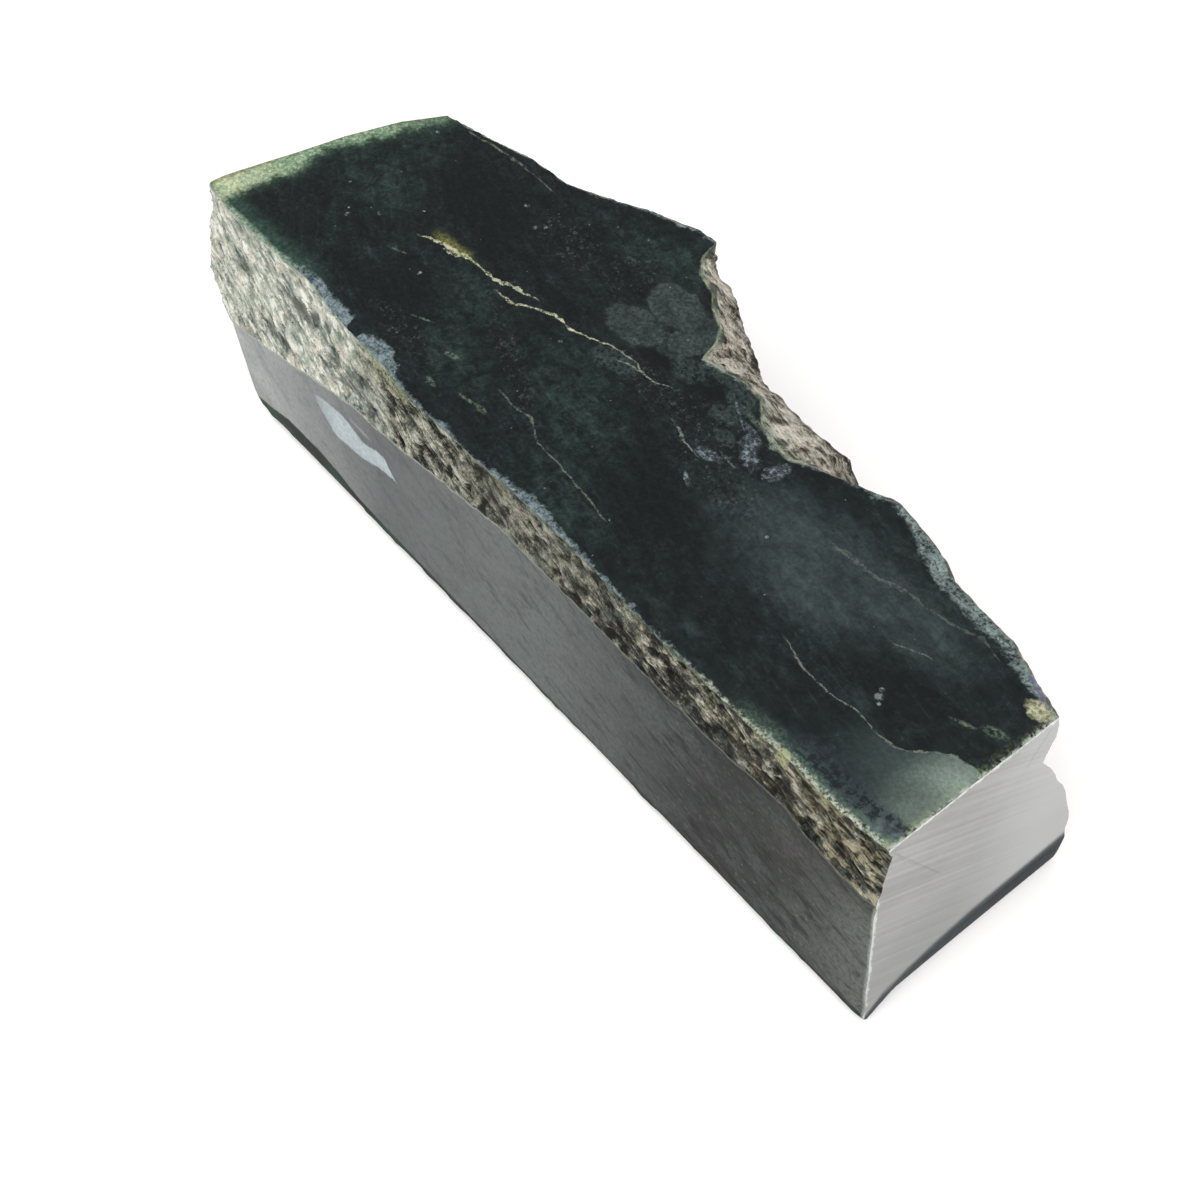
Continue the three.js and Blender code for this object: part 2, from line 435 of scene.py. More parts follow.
def places_along(count):
    """Shares along the stone: evenly spaced, then close together over the undercut of the end."""
    last = 1 - UNDERCUT_DEPTH / (2 * END_X)
    close = 1 - np.array([0.75, 0.5, 0.3, 0.15, 0.0]) * UNDERCUT_DEPTH / (2 * END_X)
    return np.concatenate([np.linspace(0, last, count - len(close)), close])


def under_share(count):
    """For each station, how far it is into the undercut of the sawn end: 0 to 1, to a power."""
    gap = (1 - places_along(count)[:, None]) * 2 * END_X
    return np.maximum(0, 1 - gap / UNDERCUT_DEPTH) ** UNDERCUT_CURVE


def smooth_skin(count):
    """Skin before its relief, as an array of stations, columns and x, y, z. Each column runs
    straight in x from the far end to the sawn end. Over the last few millimetres it is lifted by
    the undercut's share, to a power, times the height of the end's lower edge."""
    place = places_along(count)[:, None]
    parts = []
    for name, shares, band, _ in BANDS:
        t = shares[None, :]
        if name == "foot":
            t = np.concatenate([[[0.0]], t], axis=1)
        if name == "floor":
            t = t[:, :-1]
        far_y, far_z = band(np.full(t.shape, BACK_EDGE[0][0], float), t)
        near_y, near_z = band(np.full(t.shape, END_X), t)
        start, finish = far_x(far_y, far_z), end_x(near_z)
        y, z = band(start + place * (finish - start), t)
        lift = under_share(count) * between(END_FOOT, near_y) * (1 - z / HEIGHT)
        x = start + place * (end_x(near_z + lift) - start)
        parts.append(np.stack([x, y, z + lift], axis=-1))
    return np.concatenate(parts, axis=1)


def grain_at(points):
    """Distances along, across and through the stone's layers. Across is the height plus a share
    of y plus the sum of the layers' slope along x, so that the layers curve with the stone."""
    x, y, z = np.moveaxis(points, -1, 0)
    steps = np.linspace(-170, 170, 171)
    drop = np.cumsum(between(LAYER_SLOPE, steps)) * (steps[1] - steps[0])
    across = z + LAYER_LEAN * y + np.interp(x, steps, drop)
    return np.stack([0.9 * x - 0.35 * y - 0.35 * z, across, y - 0.5 * z], axis=-1)


def rind_height(points, shape):
    """Height of the rind from 0 in a crevice to 1 on a ridge: crests that run along the layers in
    two sizes, broken by rounded lumps and by pits. Towards the sawn end the crests are shorter
    and the pits deeper."""
    grain = grain_at(points)
    short = 1 - 0.45 * eased(points[..., :1], -80, 40)
    size = np.array([shape.ridge_length, shape.ridge_width * 1.5, shape.ridge_width * 2.5])
    coarse = ridges(grain / size * (1 / short) ** np.array([1, 0, 0]), 11)
    fine = ridges(grain / (0.5 * size) + 7.3, 12)
    lumps = noise(points / 5.5, 13) + 0.5 * noise(points / 2.4, 15)
    pits = eased(noise(points / np.array([2.8, 2.2, 1.7]), 14), 0.25, 0.75)
    broken = eased(points[..., 0], -90, -40)
    height = 0.34 * coarse + 0.2 * fine + 0.42 * (0.5 + 0.5 * lumps) - (0.15 + 0.35 * broken) * pits
    return np.clip(height * 1.25 - 0.08, 0, 1)


def swells(points):
    """Broad lumps and hollows of the hidden rind, in millimetres: noise of two sizes, stretched
    along the layers, which fades out towards the sawn top and the floor."""
    grain = grain_at(points)
    broad = 1.9 * noise(grain / np.array([19, 11, 17]) + 3.1, 31)
    small = 1.0 * noise(grain / np.array([8, 4.2, 7]) + 1.7, 32)
    z = points[..., 2]
    return (broad + small) * eased(HEIGHT - z, 2, 16) * eased(z, 0, 9)


def outward(skin):
    """Level unit vectors out of the skin: the cross product of its two directions, without z."""
    along = np.gradient(skin, axis=0)
    round_it = np.gradient(skin, axis=1)
    normal = np.cross(round_it, along)
    normal[..., 2] = 0
    length = np.linalg.norm(normal, axis=-1, keepdims=True)
    return normal / np.maximum(length, 1e-9)


def trimmed(points, gap):
    """Moves points near the far end along x by its trim, which fades out over y and over the
    distance from that end."""
    share = (1 - eased(points[..., 1], -50, -20)) * np.exp(-((gap / 9) ** 2))
    points[..., 0] += share * between(FAR_TRIM, points[..., 2])
    return points


# Height of the rind, from 0 to 1, that lies where the skin was before its relief.
RIND_LEVEL = 0.66


def relief_moved(skin, shape, height, columns, gap):
    """Moves the rind out by its height less its level, times the relief's depth, and the hidden
    back also by its broad swells. Both fade towards the edges and the sawn end, gap away."""
    rind, back = columns["rind"], columns["back"]
    share = np.zeros(skin.shape[:2])
    t = SHARES["rind"]
    share[:, rind] = eased(t, 0, 0.07) * (1 - 0.6 * eased(t, 0.93, 1.0))
    t = SHARES["back"]
    share[:, back] = (0.4 + 0.6 * eased(t, 0, 0.04)) * (1 - eased(t, 0.97, 1.0))
    normal = outward(skin)
    normal[:, rind] = (0, -1, 0)
    normal[..., 0] *= eased(gap, 0.5, 6)
    share *= 0.3 + 0.7 * eased(gap, 0, 4)
    move = (height - RIND_LEVEL) * share * shape.relief
    move[:, back] += swells(skin[:, back]) * eased(gap[:, back], 4, 20)
    return skin + normal * move[..., None]


def chipping(points):
    """How much of the wear a point of a sawn edge takes: noise a few millimetres across."""
    return np.clip(0.55 + noise(points / 2.6, 21), 0, 1.3)


def wear_top(moved, skin, columns, gap, wear):
    """Moves the top's first column with the rind's edge and chips the edges of the top, by noise
    that fades within a millimetre or two of them."""
    top, edge = columns["top"], columns["rind"].stop - 1
    shift = (moved[:, edge, 1] - skin[:, edge, 1])[:, None]
    front_gap = skin[:, top, 1] - skin[:, edge, 1][:, None]
    moved[:, top, 1] += shift * np.exp(-front_gap / 2)
    back_gap = skin[:, top.stop - 1, 1][:, None] - skin[:, top, 1]
    near = np.minimum(front_gap, back_gap)
    moved[:, top, 2] -= wear * chipping(skin[:, top]) * np.exp(-near / 0.7)
    flakes = np.clip(0.5 + 1.3 * noise(skin[:, top] / np.array([9, 2.1, 9]), 27), 0, 1.5)
    moved[:, top, 2] -= wear * flakes * np.exp(-gap[:, top] / 0.9)
    moved[:, edge, 2] -= wear * chipping(skin[:, edge])
    jag = noise(skin[:, top.stop - 1] / np.array([2.2, 9, 9]), 22) * 0.5
    moved[:, top, 1] += jag[:, None] * np.exp(-back_gap / 1.5)


def wear_border(moved, skin, columns):
    """Lets the border between the rind and the sawn side wander up and down."""
    rind, side = columns["rind"], columns["side"]
    border = noise(skin[:, rind.start - 1] / np.array([3.2, 9, 9]), 23) * 0.8
    moved[:, side, 2] += border[:, None] * SHARES["side"] ** 6
    moved[:, rind, 2] += border[:, None] * (1 - SHARES["rind"]) ** 6


def wear_upright_edge(moved, skin, columns, gap):
    """Rounds off and chips the upright edge between the sawn side and the sawn end."""
    chip = 0.5 + np.clip(noise(skin / np.array([9, 9, 2.4]), 24) * 1.4, -0.4, 1)
    rounding = (1 - eased(gap, 0, 5.5)) ** 2 * chip
    low = slice(0, columns["rind"].stop)
    moved[:, low, 1] += rounding[:, low] * 1.1


def wear_foot(moved, skin, columns, stations):
    """Lets the upper edge of the foot rise and fall along its length, and the side with it."""
    foot, side = slice(0, columns["foot"].stop), columns["side"]
    edge = skin[:, foot.stop - 1]
    wave = 1.5 * noise(edge / np.array([8, 90, 90]), 25) + 0.6 * noise(edge / np.array([2.6, 90, 90]), 26)
    wave = np.maximum((0.5 + wave)[:, None] * (1 - under_share(stations)), -1.2)
    t = np.concatenate([[[0.0]], SHARES["foot"]], axis=1)
    moved[:, foot, 2] += wave * t ** 2
    moved[:, side, 2] += wave * np.maximum(0, 1 - SHARES["side"] / 0.3) ** 2


def roughened(skin, shape):
    """The skin with its relief and its worn edges, and the rind's height at each point."""
    columns = band_columns()
    height = rind_height(skin, shape)
    gap = skin[-1:, :, 0] - skin[..., 0]
    moved = relief_moved(skin, shape, height, columns, gap)
    wear_top(moved, skin, columns, gap, shape.edge_wear)
    wear_border(moved, skin, columns)
    wear_upright_edge(moved, skin, columns, gap)
    wear_foot(moved, skin, columns, shape.stations)
    return trimmed(moved, skin[..., 0] - skin[:1, :, 0]), height


def cap(ring, x_at, rings, outward_x, first, base):
    """Closes one end: rings that shrink in y and z towards the middle of the end, and lie on the
    face x_at(y, z). first is the index of the ring's first point, base that of the next point.
    Returns the new points and the faces, which turn the other way when the end faces away."""
    count = len(ring)
    middle = np.array([ring[:, 1].mean(), HEIGHT / 2])
    keep = (1 - np.arange(1, rings) / rings)[:, None, None]
    yz = middle + keep * (ring[None, :, 1:] - middle)
    yz = np.concatenate([yz.reshape(-1, 2), middle[None]])
    points = np.column_stack([x_at(yz[:, 0], yz[:, 1]), yz])
    loops = base + np.arange((rings - 1) * count).reshape(rings - 1, count)
    loops = np.concatenate([(first + np.arange(count))[None], loops])
    nearer = np.roll(loops, -1, axis=1)
    quads = np.stack([loops[:-1], loops[1:], nearer[1:], nearer[:-1]], axis=-1).reshape(-1, 4)
    centre = np.full(count, base + len(points) - 1)
    tips = np.stack([loops[-1], centre, nearer[-1]], axis=-1)
    if not outward_x:
        quads, tips = quads[:, ::-1], tips[:, ::-1]
    return points, quads, tips


FAR_RINGS, END_RINGS = 26, 16
SHARP_ANGLE = radians(42)


def skin_faces(stations, count):
    """The skin's quads, each between two stations and two columns, and their materials."""
    index = np.arange(stations * count).reshape(stations, count)
    beside = np.roll(index, -1, axis=1)
    quads = np.stack([index[:-1], index[1:], beside[1:], beside[:-1]], axis=-1)
    materials = np.zeros((stations - 1, count), int)
    for columns, (_, _, _, material) in zip(band_columns().values(), BANDS):
        materials[:, columns.start - 1 : columns.stop - 1] = material
    materials[:, -1] = DULL
    return quads.reshape(-1, 4), materials.ravel()


def point_values(points, unbroken, heights):
    """The values that the materials read at each point. The unbroken points are those before the
    relief, so that the rind's foot keeps its line."""
    x, y, z = points.T
    marks = [between(line, x) for line in (LENS_TOP, LENS_FOOT, FOOT_BAND)]
    return {
        "height": heights,
        "grain": grain_at(points),
        "rind_gap": between(RIND_FOOT, unbroken[:, 0]) - unbroken[:, 2],
        "foot_gap": z - between(END_FOOT, y),
        "side_marks": np.column_stack(marks),
        **edge_values(points),
        **vein_values(points),
    }


def stone_arrays(shape):
    """All points of the stone, its quads and triangles with their materials, and the values that
    the materials read at each point."""
    smooth = smooth_skin(shape.stations)
    skin, height = roughened(smooth, shape)
    stations, count = skin.shape[:2]
    skin_quads, skin_materials = skin_faces(stations, count)

    def far_face(y, z):
        """x of the far end with its relief, broad lumps and hollows, and trim."""
        x = far_x(y, z) + crag(2 * y, z)
        points = np.stack([x, y, z], axis=-1)
        inside = eased(y - SIDE_Y, 3, 16) * eased(back_y(x, z) - y, 0, 10)
        move = (rind_height(points, shape) - RIND_LEVEL) * shape.relief + swells(points) * inside
        return trimmed(points, 0)[..., 0] - move

    far = cap(skin[0], far_face, FAR_RINGS, False, 0, stations * count)
    base = stations * count + len(far[0])
    end = cap(skin[-1], lambda y, z: end_x(z), END_RINGS, True, (stations - 1) * count, base)

    points = np.concatenate([skin.reshape(-1, 3), far[0], end[0]])
    quads = np.concatenate([skin_quads, far[1], end[1]])
    tips = np.concatenate([far[2], end[2]])
    materials = np.concatenate([
        skin_materials,
        np.full(len(far[1]), RIND),
        np.full(len(end[1]), SAWN_END),
        np.full(len(far[2]), RIND),
        np.full(len(end[2]), SAWN_END),
    ])
    heights = np.concatenate([height.ravel(), rind_height(far[0], shape), np.ones(len(end[0]))])
    middle = (smooth.min(axis=(0, 1)) + smooth.max(axis=(0, 1))) / 2
    unbroken = np.concatenate([smooth.reshape(-1, 3), far[0], end[0]])
    values = point_values(points, unbroken, heights)
    return points - (middle[0], middle[1], 0), quads, tips, materials, values


def edge_values(points):
    """How far each point of the top lies inside the crust of its front, back and far edges: the
    crust's depth there less the distance to the edge. Also the distances to the edges."""
    x, y, _ = points.T
    front = y - between(FRONT_EDGE, x)
    back = between(BACK_EDGE, x) - y
    far = x - between(FAR_EDGE, y)
    return {
        "far_gap": far,
        "crust": np.column_stack([
            between(FRONT_CRUST, x) - front,
            between(BACK_CRUST, x) - back,
            between(FAR_CRUST, y) - far,
        ]),
        "gaps": np.column_stack([front, back, end_x(HEIGHT) - x]),
    }


def vein_values(points):
    """For each vein, the distance across it, its half width and how strongly it shows, which
    fades out over 3 mm past each of its ends."""
    x, y, _ = points.T
    values = {}
    for name, (strength, route) in VEINS.items():
        places, line, half = np.array(route, float).T
        slope = np.interp(x, places, np.gradient(line, places))
        across = (y - np.interp(x, places, line)) / np.hypot(1, slope)
        showing = eased(x, places[0] - 2, places[0] + 1) * (1 - eased(x, places[-1] - 1, places[-1] + 2))
        values[name] = np.column_stack([across, np.interp(x, places, half), strength * showing])
    return values


def map_corners(points, quads, tips, stations, count):
    """The piece's own map. The skin is laid out flat, along the stone and round it, over the
    lower four fifths of the square, and the two ends lie side by side above it."""
    skin_quads = (stations - 1) * count
    section = points[(stations // 2) * count : (stations // 2 + 1) * count]
    step = np.linalg.norm(np.roll(section, -1, axis=0) - section, axis=1)
    round_it = np.concatenate([[0], np.cumsum(step)]) / step.sum()
    along = places_along(stations)
    i, j = np.divmod(np.arange(skin_quads), count)
    u = np.stack([along[i], along[i + 1], along[i + 1], along[i]], axis=1)
    v = np.stack([round_it[j], round_it[j], round_it[j + 1], round_it[j + 1]], axis=1)
    skin_map = np.stack([0.004 + 0.992 * u, 0.004 + 0.78 * v], axis=-1).reshape(-1, 2)
    first_end = stations * count + (FAR_RINGS - 1) * count + 1

    def end_map(faces):
        """Corners of an end's faces, by y and z. The sawn end lies beside the far one."""
        corner = points[faces]
        low, high = points.min(axis=0), points.max(axis=0)
        share = (corner[..., 1:] - low[1:]) / (high[1:] - low[1:])
        of_sawn_end = (faces.max(axis=1) >= first_end)[:, None]
        u = np.where(of_sawn_end, 0.51, 0.01) + 0.48 * share[..., 0]
        return np.stack([u, 0.80 + 0.19 * share[..., 1]], axis=-1).reshape(-1, 2)

    return np.concatenate([skin_map, end_map(quads[skin_quads:]), end_map(tips)])


def stone_mesh(name, shape):
    """Puts the stone's arrays into a mesh, in metres, with its attributes and its own map."""
    points, quads, tips, materials, values = stone_arrays(shape)
    count = sum(len(shares) for _, shares, _, _ in BANDS)
    mesh = bpy.data.meshes.new(name)
    faces = quads.tolist() + tips.tolist()
    mesh.from_pydata((points * MM).tolist(), [], faces)
    mesh.polygons.foreach_set("material_index", materials.astype(np.int32))
    for key, value in values.items():
        flat = value.ndim == 1
        made = mesh.attributes.new(key, "FLOAT" if flat else "FLOAT_VECTOR", "POINT")
        made.data.foreach_set("value" if flat else "vector", value.astype(np.float32).ravel())
    layer = mesh.uv_layers.new(name="OFBake")
    corners = map_corners(points, quads, tips, shape.stations, count)
    layer.data.foreach_set("uv", corners.astype(np.float32).ravel())
    mesh.polygons.foreach_set("use_smooth", materials != SAWN_END)
    mesh.set_sharp_from_angle(angle=SHARP_ANGLE)
    mesh.validate()
    mesh.update()
    return mesh


# ---------------------------------------------------------------- shader nodes


def shown(red, green, blue):
    """Linear colour from screen values of 0 to 255, by the usual power curve of screens."""
    return tuple(
        v / 12.92 if v <= 0.04045 else ((v + 0.055) / 1.055) ** 2.4
        for v in (red / 255, green / 255, blue / 255)
    )


class Tree:
    """A node tree being filled. Each method adds nodes, feeds them and returns their output."""

    def __init__(self, tree):
        self.tree = tree

    def node(self, kind, **settings):
        """Adds a node and gives it these settings."""
        made = self.tree.nodes.new(kind)
        for name, value in settings.items():
            setattr(made, name, value)
        return made

    def feed(self, socket, value):
        """Links another node's output to an input, or sets the input's own value."""
        if isinstance(value, bpy.types.NodeSocket):
            self.tree.links.new(value, socket)
        elif socket.type == "RGBA" and len(value) == 3:
            socket.default_value = (*value, 1)
        else:
            socket.default_value = value

    def fed(self, made, **values):
        """Feeds a node's inputs. A value's name is its input's, with _ for a space."""
        for name, value in values.items():
            self.feed(made.inputs[name.replace("_", " ")], value)
        return made

    def maths(self, operation, *values, clamp=False):
        made = self.node("ShaderNodeMath", operation=operation, use_clamp=clamp)
        for socket, value in zip(made.inputs, values):
            self.feed(socket, value)
        return made.outputs[0]

    def times(self, *values):
        """The product of several values."""
        total = values[0]
        for value in values[1:]:
            total = self.maths("MULTIPLY", total, value)
        return total

    def times_plus(self, value, factor, rest):
        """The value times the factor, plus the rest."""
        return self.maths("MULTIPLY_ADD", value, factor, rest)

    def add(self, first, second):
        return self.maths("ADD", first, second)

    def less(self, first, second):
        return self.maths("SUBTRACT", first, second)

    def most(self, *values):
        """The greatest of several values."""
        total = values[0]
        for value in values[1:]:
            total = self.maths("MAXIMUM", total, value)
        return total

    def size_of(self, value):
        """The value without its sign."""
        return self.maths("ABSOLUTE", value)

    def centred(self, value):
        """A value of 0 to 1 moved to run from -0.5 to 0.5."""
        return self.less(value, 0.5)

    def vector(self, operation, *values):
        made = self.node("ShaderNodeVectorMath", operation=operation)
        for socket, value in zip(made.inputs, values):
            self.feed(socket, value)
        return made.outputs["Value" if operation == "LENGTH" else "Vector"]

    def rotated(self, vector, kind, **values):
        made = self.node("ShaderNodeVectorRotate", rotation_type=kind)
        return self.fed(made, Vector=vector, **values).outputs[0]

    def ease(self, value, low, high, start=0.0, finish=1.0):
        """From start, at low and below, to finish, at high and above, along a smooth curve."""
        made = self.node("ShaderNodeMapRange", interpolation_type="SMOOTHSTEP")
        self.fed(made, Value=value, From_Min=low, From_Max=high, To_Min=start, To_Max=finish)
        return made.outputs["Result"]

    def share(self, value, low, high):
        """How far the value is from low to high, from 0 to 1."""
        made = self.node("ShaderNodeMapRange")
        return self.fed(made, Value=value, From_Min=low, From_Max=high).outputs["Result"]

    def mix(self, factor, first, second, blend="MIX"):
        """The first colour where the factor is 0 and the second where it is 1."""
        made = self.node("ShaderNodeMix", data_type="RGBA", blend_type=blend)
        return self.fed(made, Factor=factor, A=first, B=second).outputs["Result"]

    def noise(self, vector, size, detail=3.0, roughness=0.55, distortion=0.0, shift=None):
        """Noise whose features are about size across, in the vector's own unit. A shift gives
        another pattern of the same kind."""
        if shift:
            vector = self.vector("ADD", vector, shift)
        made = self.node("ShaderNodeTexNoise")
        self.fed(made, Vector=vector, Scale=1 / size, Detail=detail, Roughness=roughness)
        return self.fed(made, Distortion=distortion).outputs["Fac"]

    def cells(self, vector, size):
        """Rounded cells: the distance to the nearest one's middle, and its own colour."""
        made = self.node("ShaderNodeTexVoronoi")
        return self.fed(made, Vector=vector, Scale=1 / size).outputs

    def ramp(self, factor, *stops):
        """Colour from a ramp with a stop for each (place, colour)."""
        made = self.node("ShaderNodeValToRGB")
        points = made.color_ramp.elements
        while len(points) < len(stops):
            points.new(0.5)
        for point, (place, colour) in zip(points, stops):
            point.position = place
            point.color = (*colour, 1)
        return self.fed(made, Fac=factor).outputs["Color"]

    def own(self, name, output="Vector"):
        """An attribute of the piece's own mesh."""
        return self.node("ShaderNodeAttribute", attribute_name=name).outputs[output]

    def split(self, vector):
        made = self.node("ShaderNodeSeparateXYZ")
        self.feed(made.inputs[0], vector)
        return made.outputs

    def group(self, group, **values):
        return self.fed(self.node("ShaderNodeGroup", node_tree=group), **values).outputs[0]

    def millimetres(self):
        """The object's own coordinates, in millimetres."""
        place = self.node("ShaderNodeTexCoord").outputs["Object"]
        made = self.node("ShaderNodeVectorMath", operation="SCALE")
        return self.fed(made, Vector=place, Scale=1 / MM).outputs["Vector"]


VALUE, VECTOR = "NodeSocketFloat", "NodeSocketVector"


def new_group(name, inputs, output):
    """An empty node group with these (name, kind, default) inputs and one value output. Returns
    its Tree, the input sockets by name and the socket to feed."""
    group = bpy.data.node_groups.new(name, "ShaderNodeTree")
    for label, kind, default in inputs:
        made = group.interface.new_socket(label, in_out="INPUT", socket_type=kind)
        made.default_value = default
    group.interface.new_socket(output, in_out="OUTPUT", socket_type=VALUE)
    start = group.nodes.new("NodeGroupInput")
    finish = group.nodes.new("NodeGroupOutput")
    return Tree(group), start.outputs, finish.inputs[output]


def fibre_group():
    """Streaks that run along the stone's layers, from 0 to 1: noise of the grain's coordinates
    divided by the streaks' length and width."""
    inputs = [("Length", VALUE, 8.0), ("Width", VALUE, 1.0)]
    tree, given, result = new_group("Stone fibres", inputs, "Streak")
    size = tree.node("ShaderNodeCombineXYZ")
    depth = tree.maths("MULTIPLY", given["Width"], 2.0)
    tree.fed(size, X=given["Length"], Y=given["Width"], Z=depth)
    shrunk = tree.vector("DIVIDE", tree.own("grain"), size.outputs[0])
    tree.feed(result, tree.noise(shrunk, 1.0, 4.0, 0.6, 0.4))
    return tree.tree


def vein_group():
    """1 along a vein's wavering line and 0 away from it, from the vein's own attribute."""
    inputs = [("Vein", VECTOR, (9, 0, 0)), ("Waver", VALUE, 2.2), ("Softness", VALUE, 0.28)]
    tree, given, result = new_group("Stone vein", inputs, "Mask")
    across, half, strength = tree.split(given["Vein"])
    place = tree.millimetres()
    bend = tree.centred(tree.noise(place, 4.5, 5.0, 0.7))
    away = tree.size_of(tree.times_plus(bend, given["Waver"], across))
    swell = tree.ease(tree.noise(place, 2.4, 3.0, 0.6), 0.32, 0.66, 0.1, 2.0)
    thick = tree.times(half, swell)
    line = tree.ease(away, thick, tree.add(thick, given["Softness"]), 1.0, 0.0)
    broken = tree.ease(tree.noise(place, 1.5, 4.0, 0.75), 0.40, 0.55, 0.08, 1.0)
    tree.feed(result, tree.times(line, broken, strength))
    return tree.tree


def patch_group():
    """1 inside an oval patch with a ragged border and 0 outside. Millimetres and radians."""
    inputs = [
        ("Centre", VECTOR, (0, 0, 0)), ("Reach", VECTOR, (5, 5, 500)), ("Turn", VALUE, 0.0),
        ("Axis", VECTOR, (0, 0, 1)), ("Ragged", VALUE, 0.6), ("Border", VALUE, 0.15),
    ]
    tree, given, result = new_group("Stone patch", inputs, "Mask")
    place = tree.millimetres()
    offset = tree.vector("SUBTRACT", place, given["Centre"])
    turned = tree.rotated(offset, "AXIS_ANGLE", Axis=given["Axis"], Angle=given["Turn"])
    away = tree.vector("LENGTH", tree.vector("DIVIDE", turned, given["Reach"]))
    bend = tree.centred(tree.noise(place, 5.0, 6.0, 0.72))
    away = tree.times_plus(bend, tree.times(given["Ragged"], 2.0), away)
    low, high = tree.less(1.0, given["Border"]), tree.add(1.0, given["Border"])
    tree.feed(result, tree.ease(away, low, high, 1.0, 0.0))
    return tree.tree


def speck_group():
    """Scattered specks: 1 inside a speck. Only that share of the cells has one."""
    inputs = [("Spacing", VALUE, 2.0), ("Size", VALUE, 0.3), ("Share", VALUE, 0.2)]
    tree, given, result = new_group("Stone specks", inputs, "Mask")
    place = tree.millimetres()
    waver = tree.fed(tree.node("ShaderNodeTexNoise"), Vector=place, Scale=1.2)
    bent = tree.vector("MULTIPLY_ADD", waver.outputs["Color"], (0.9, 0.9, 0.9), place)
    cells = tree.cells(tree.vector("DIVIDE", bent, given["Spacing"]), 1.0)
    red, green, _ = tree.split(cells["Color"])
    chosen = tree.maths("LESS_THAN", red, given["Share"])
    size = tree.times(given["Size"], tree.add(0.5, green))
    spot = tree.ease(cells["Distance"], tree.times(size, 0.4), size, 1.0, 0.0)
    tree.feed(result, tree.times(chosen, spot))
    return tree.tree


def grain_group():
    """Crystal grains of a crust, from dark gaps at 0 to pale tips at 1."""
    tree, given, result = new_group("Crystal grains", [("Size", VALUE, 0.8)], "Height")
    shrunk = tree.vector("DIVIDE", tree.millimetres(), given["Size"])
    blocks = tree.cells(shrunk, 1.0)["Distance"]
    height = tree.times_plus(tree.noise(shrunk, 0.9, 5.0, 0.75), 1.5, tree.times(blocks, 0.25))
    height = tree.times_plus(tree.noise(shrunk, 4.0, 3.0, 0.6), 0.8, height)
    tree.feed(result, tree.ease(height, 0.85, 1.65))
    return tree.tree


class Effects:
    """The node groups that the materials share, each made once."""

    def __init__(self):
        self.fibres = fibre_group()
        self.vein = vein_group()
        self.patch = patch_group()
        self.specks = speck_group()
        self.grains = grain_group()


class Coat(Tree):
    """A material, with the object's own coordinates."""

    def __init__(self, name, roughness, specular):
        self.material = bpy.data.materials.new(name)
        self.material.use_nodes = True
        super().__init__(self.material.node_tree)
        self.shader = self.tree.nodes["Principled BSDF"]
        self.fed(self.shader, Roughness=roughness, Specular_IOR_Level=specular)
        self.place = self.millimetres()


class StoneCoat(Coat):
    """A material of the stone, whose colour is built up in layers."""

    def __init__(self, name, roughness, specular, effects):
        super().__init__(name, roughness, specular)
        self.effects = effects
        self.x, self.y, self.z = self.split(self.place)
        self.colour = None

    def lay(self, colour, *masks):
        """Lays a colour over those so far, as strongly as the product of these masks."""
        self.colour = self.mix(self.times(*masks), self.colour, colour)

    def along(self, low, high, start=0.0, finish=1.0):
        """From start to finish between these two places along the stone."""
        return self.ease(self.x, low, high, start, finish)

    def fibres(self, length, width):
        return self.group(self.effects.fibres, Length=length, Width=width)

    def specks(self, spacing, size, share):
        return self.group(self.effects.specks, Spacing=spacing, Size=size, Share=share)

    def spots(self, size, detail, roughness, low, high, start=0.0, finish=1.0, shift=None):
        """Irregular spots: start where the noise is below low, finish where it is above high."""
        noise = self.noise(self.place, size, detail, roughness, shift=shift)
        return self.ease(noise, low, high, start, finish)

    def patch(self, centre, reach, **values):
        return self.group(self.effects.patch, Centre=centre, Reach=reach, **values)

    def patches(self, rows, border=0.15):
        """The most of several oval patches of the top, each from its row of centre x and y,
        reach along and across, turn in degrees and how ragged it is."""
        masks = []
        for x, y, along, across, turn, ragged in rows:
            centre, reach = (x, y, HEIGHT), (along, across, 500)
            masks.append(self.patch(centre, reach, Turn=radians(-turn), Ragged=ragged, Border=border))
        return self.most(*masks)

    def finish(self, roughness, height, depth):
        """Feeds the shader. The height of 0 to 1 stands for depth millimetres."""
        bump = self.node("ShaderNodeBump")
        self.fed(bump, Distance=depth * MM, Height=height)
        self.fed(self.shader, Base_Color=self.colour, Roughness=roughness, Normal=bump.outputs["Normal"])
        return self.material


# ---------------------------------------------------------------- materials

# Marks in the sawn top: centre x, y, reach along and across, turn in degrees, ragged.
DULL_LOBES = [
    (-9, 11.5, 6.5, 4.5, 0, 0.6), (-6.6, 19.5, 6.6, 10, 0, 0.6), (-20.8, 8.8, 10.6, 7.4, 5, 0.5),
    (-18.5, 22.8, 10.6, 7.4, -8, 0.5),
]
BROKEN_LOBES = [
    (2, 9.5, 6, 4, 20, 0.7), (11, 15.5, 8, 2.4, 5, 0.6), (20, 13, 5.5, 3.8, 0, 0.6),
    (21, 5.5, 4.5, 3.2, 0, 0.7), (27, 0.5, 4, 2.6, 0, 0.7), (-14, -4.5, 8, 3.4, 5, 0.9),
]
BLACK_HOLES = [(13.3, 9.3, 3.4, 2.6, 0, 0.7), (-8, 5, 7, 2.2, 10, 0.9), (40, -1, 6, 2.2, 0, 0.8)]
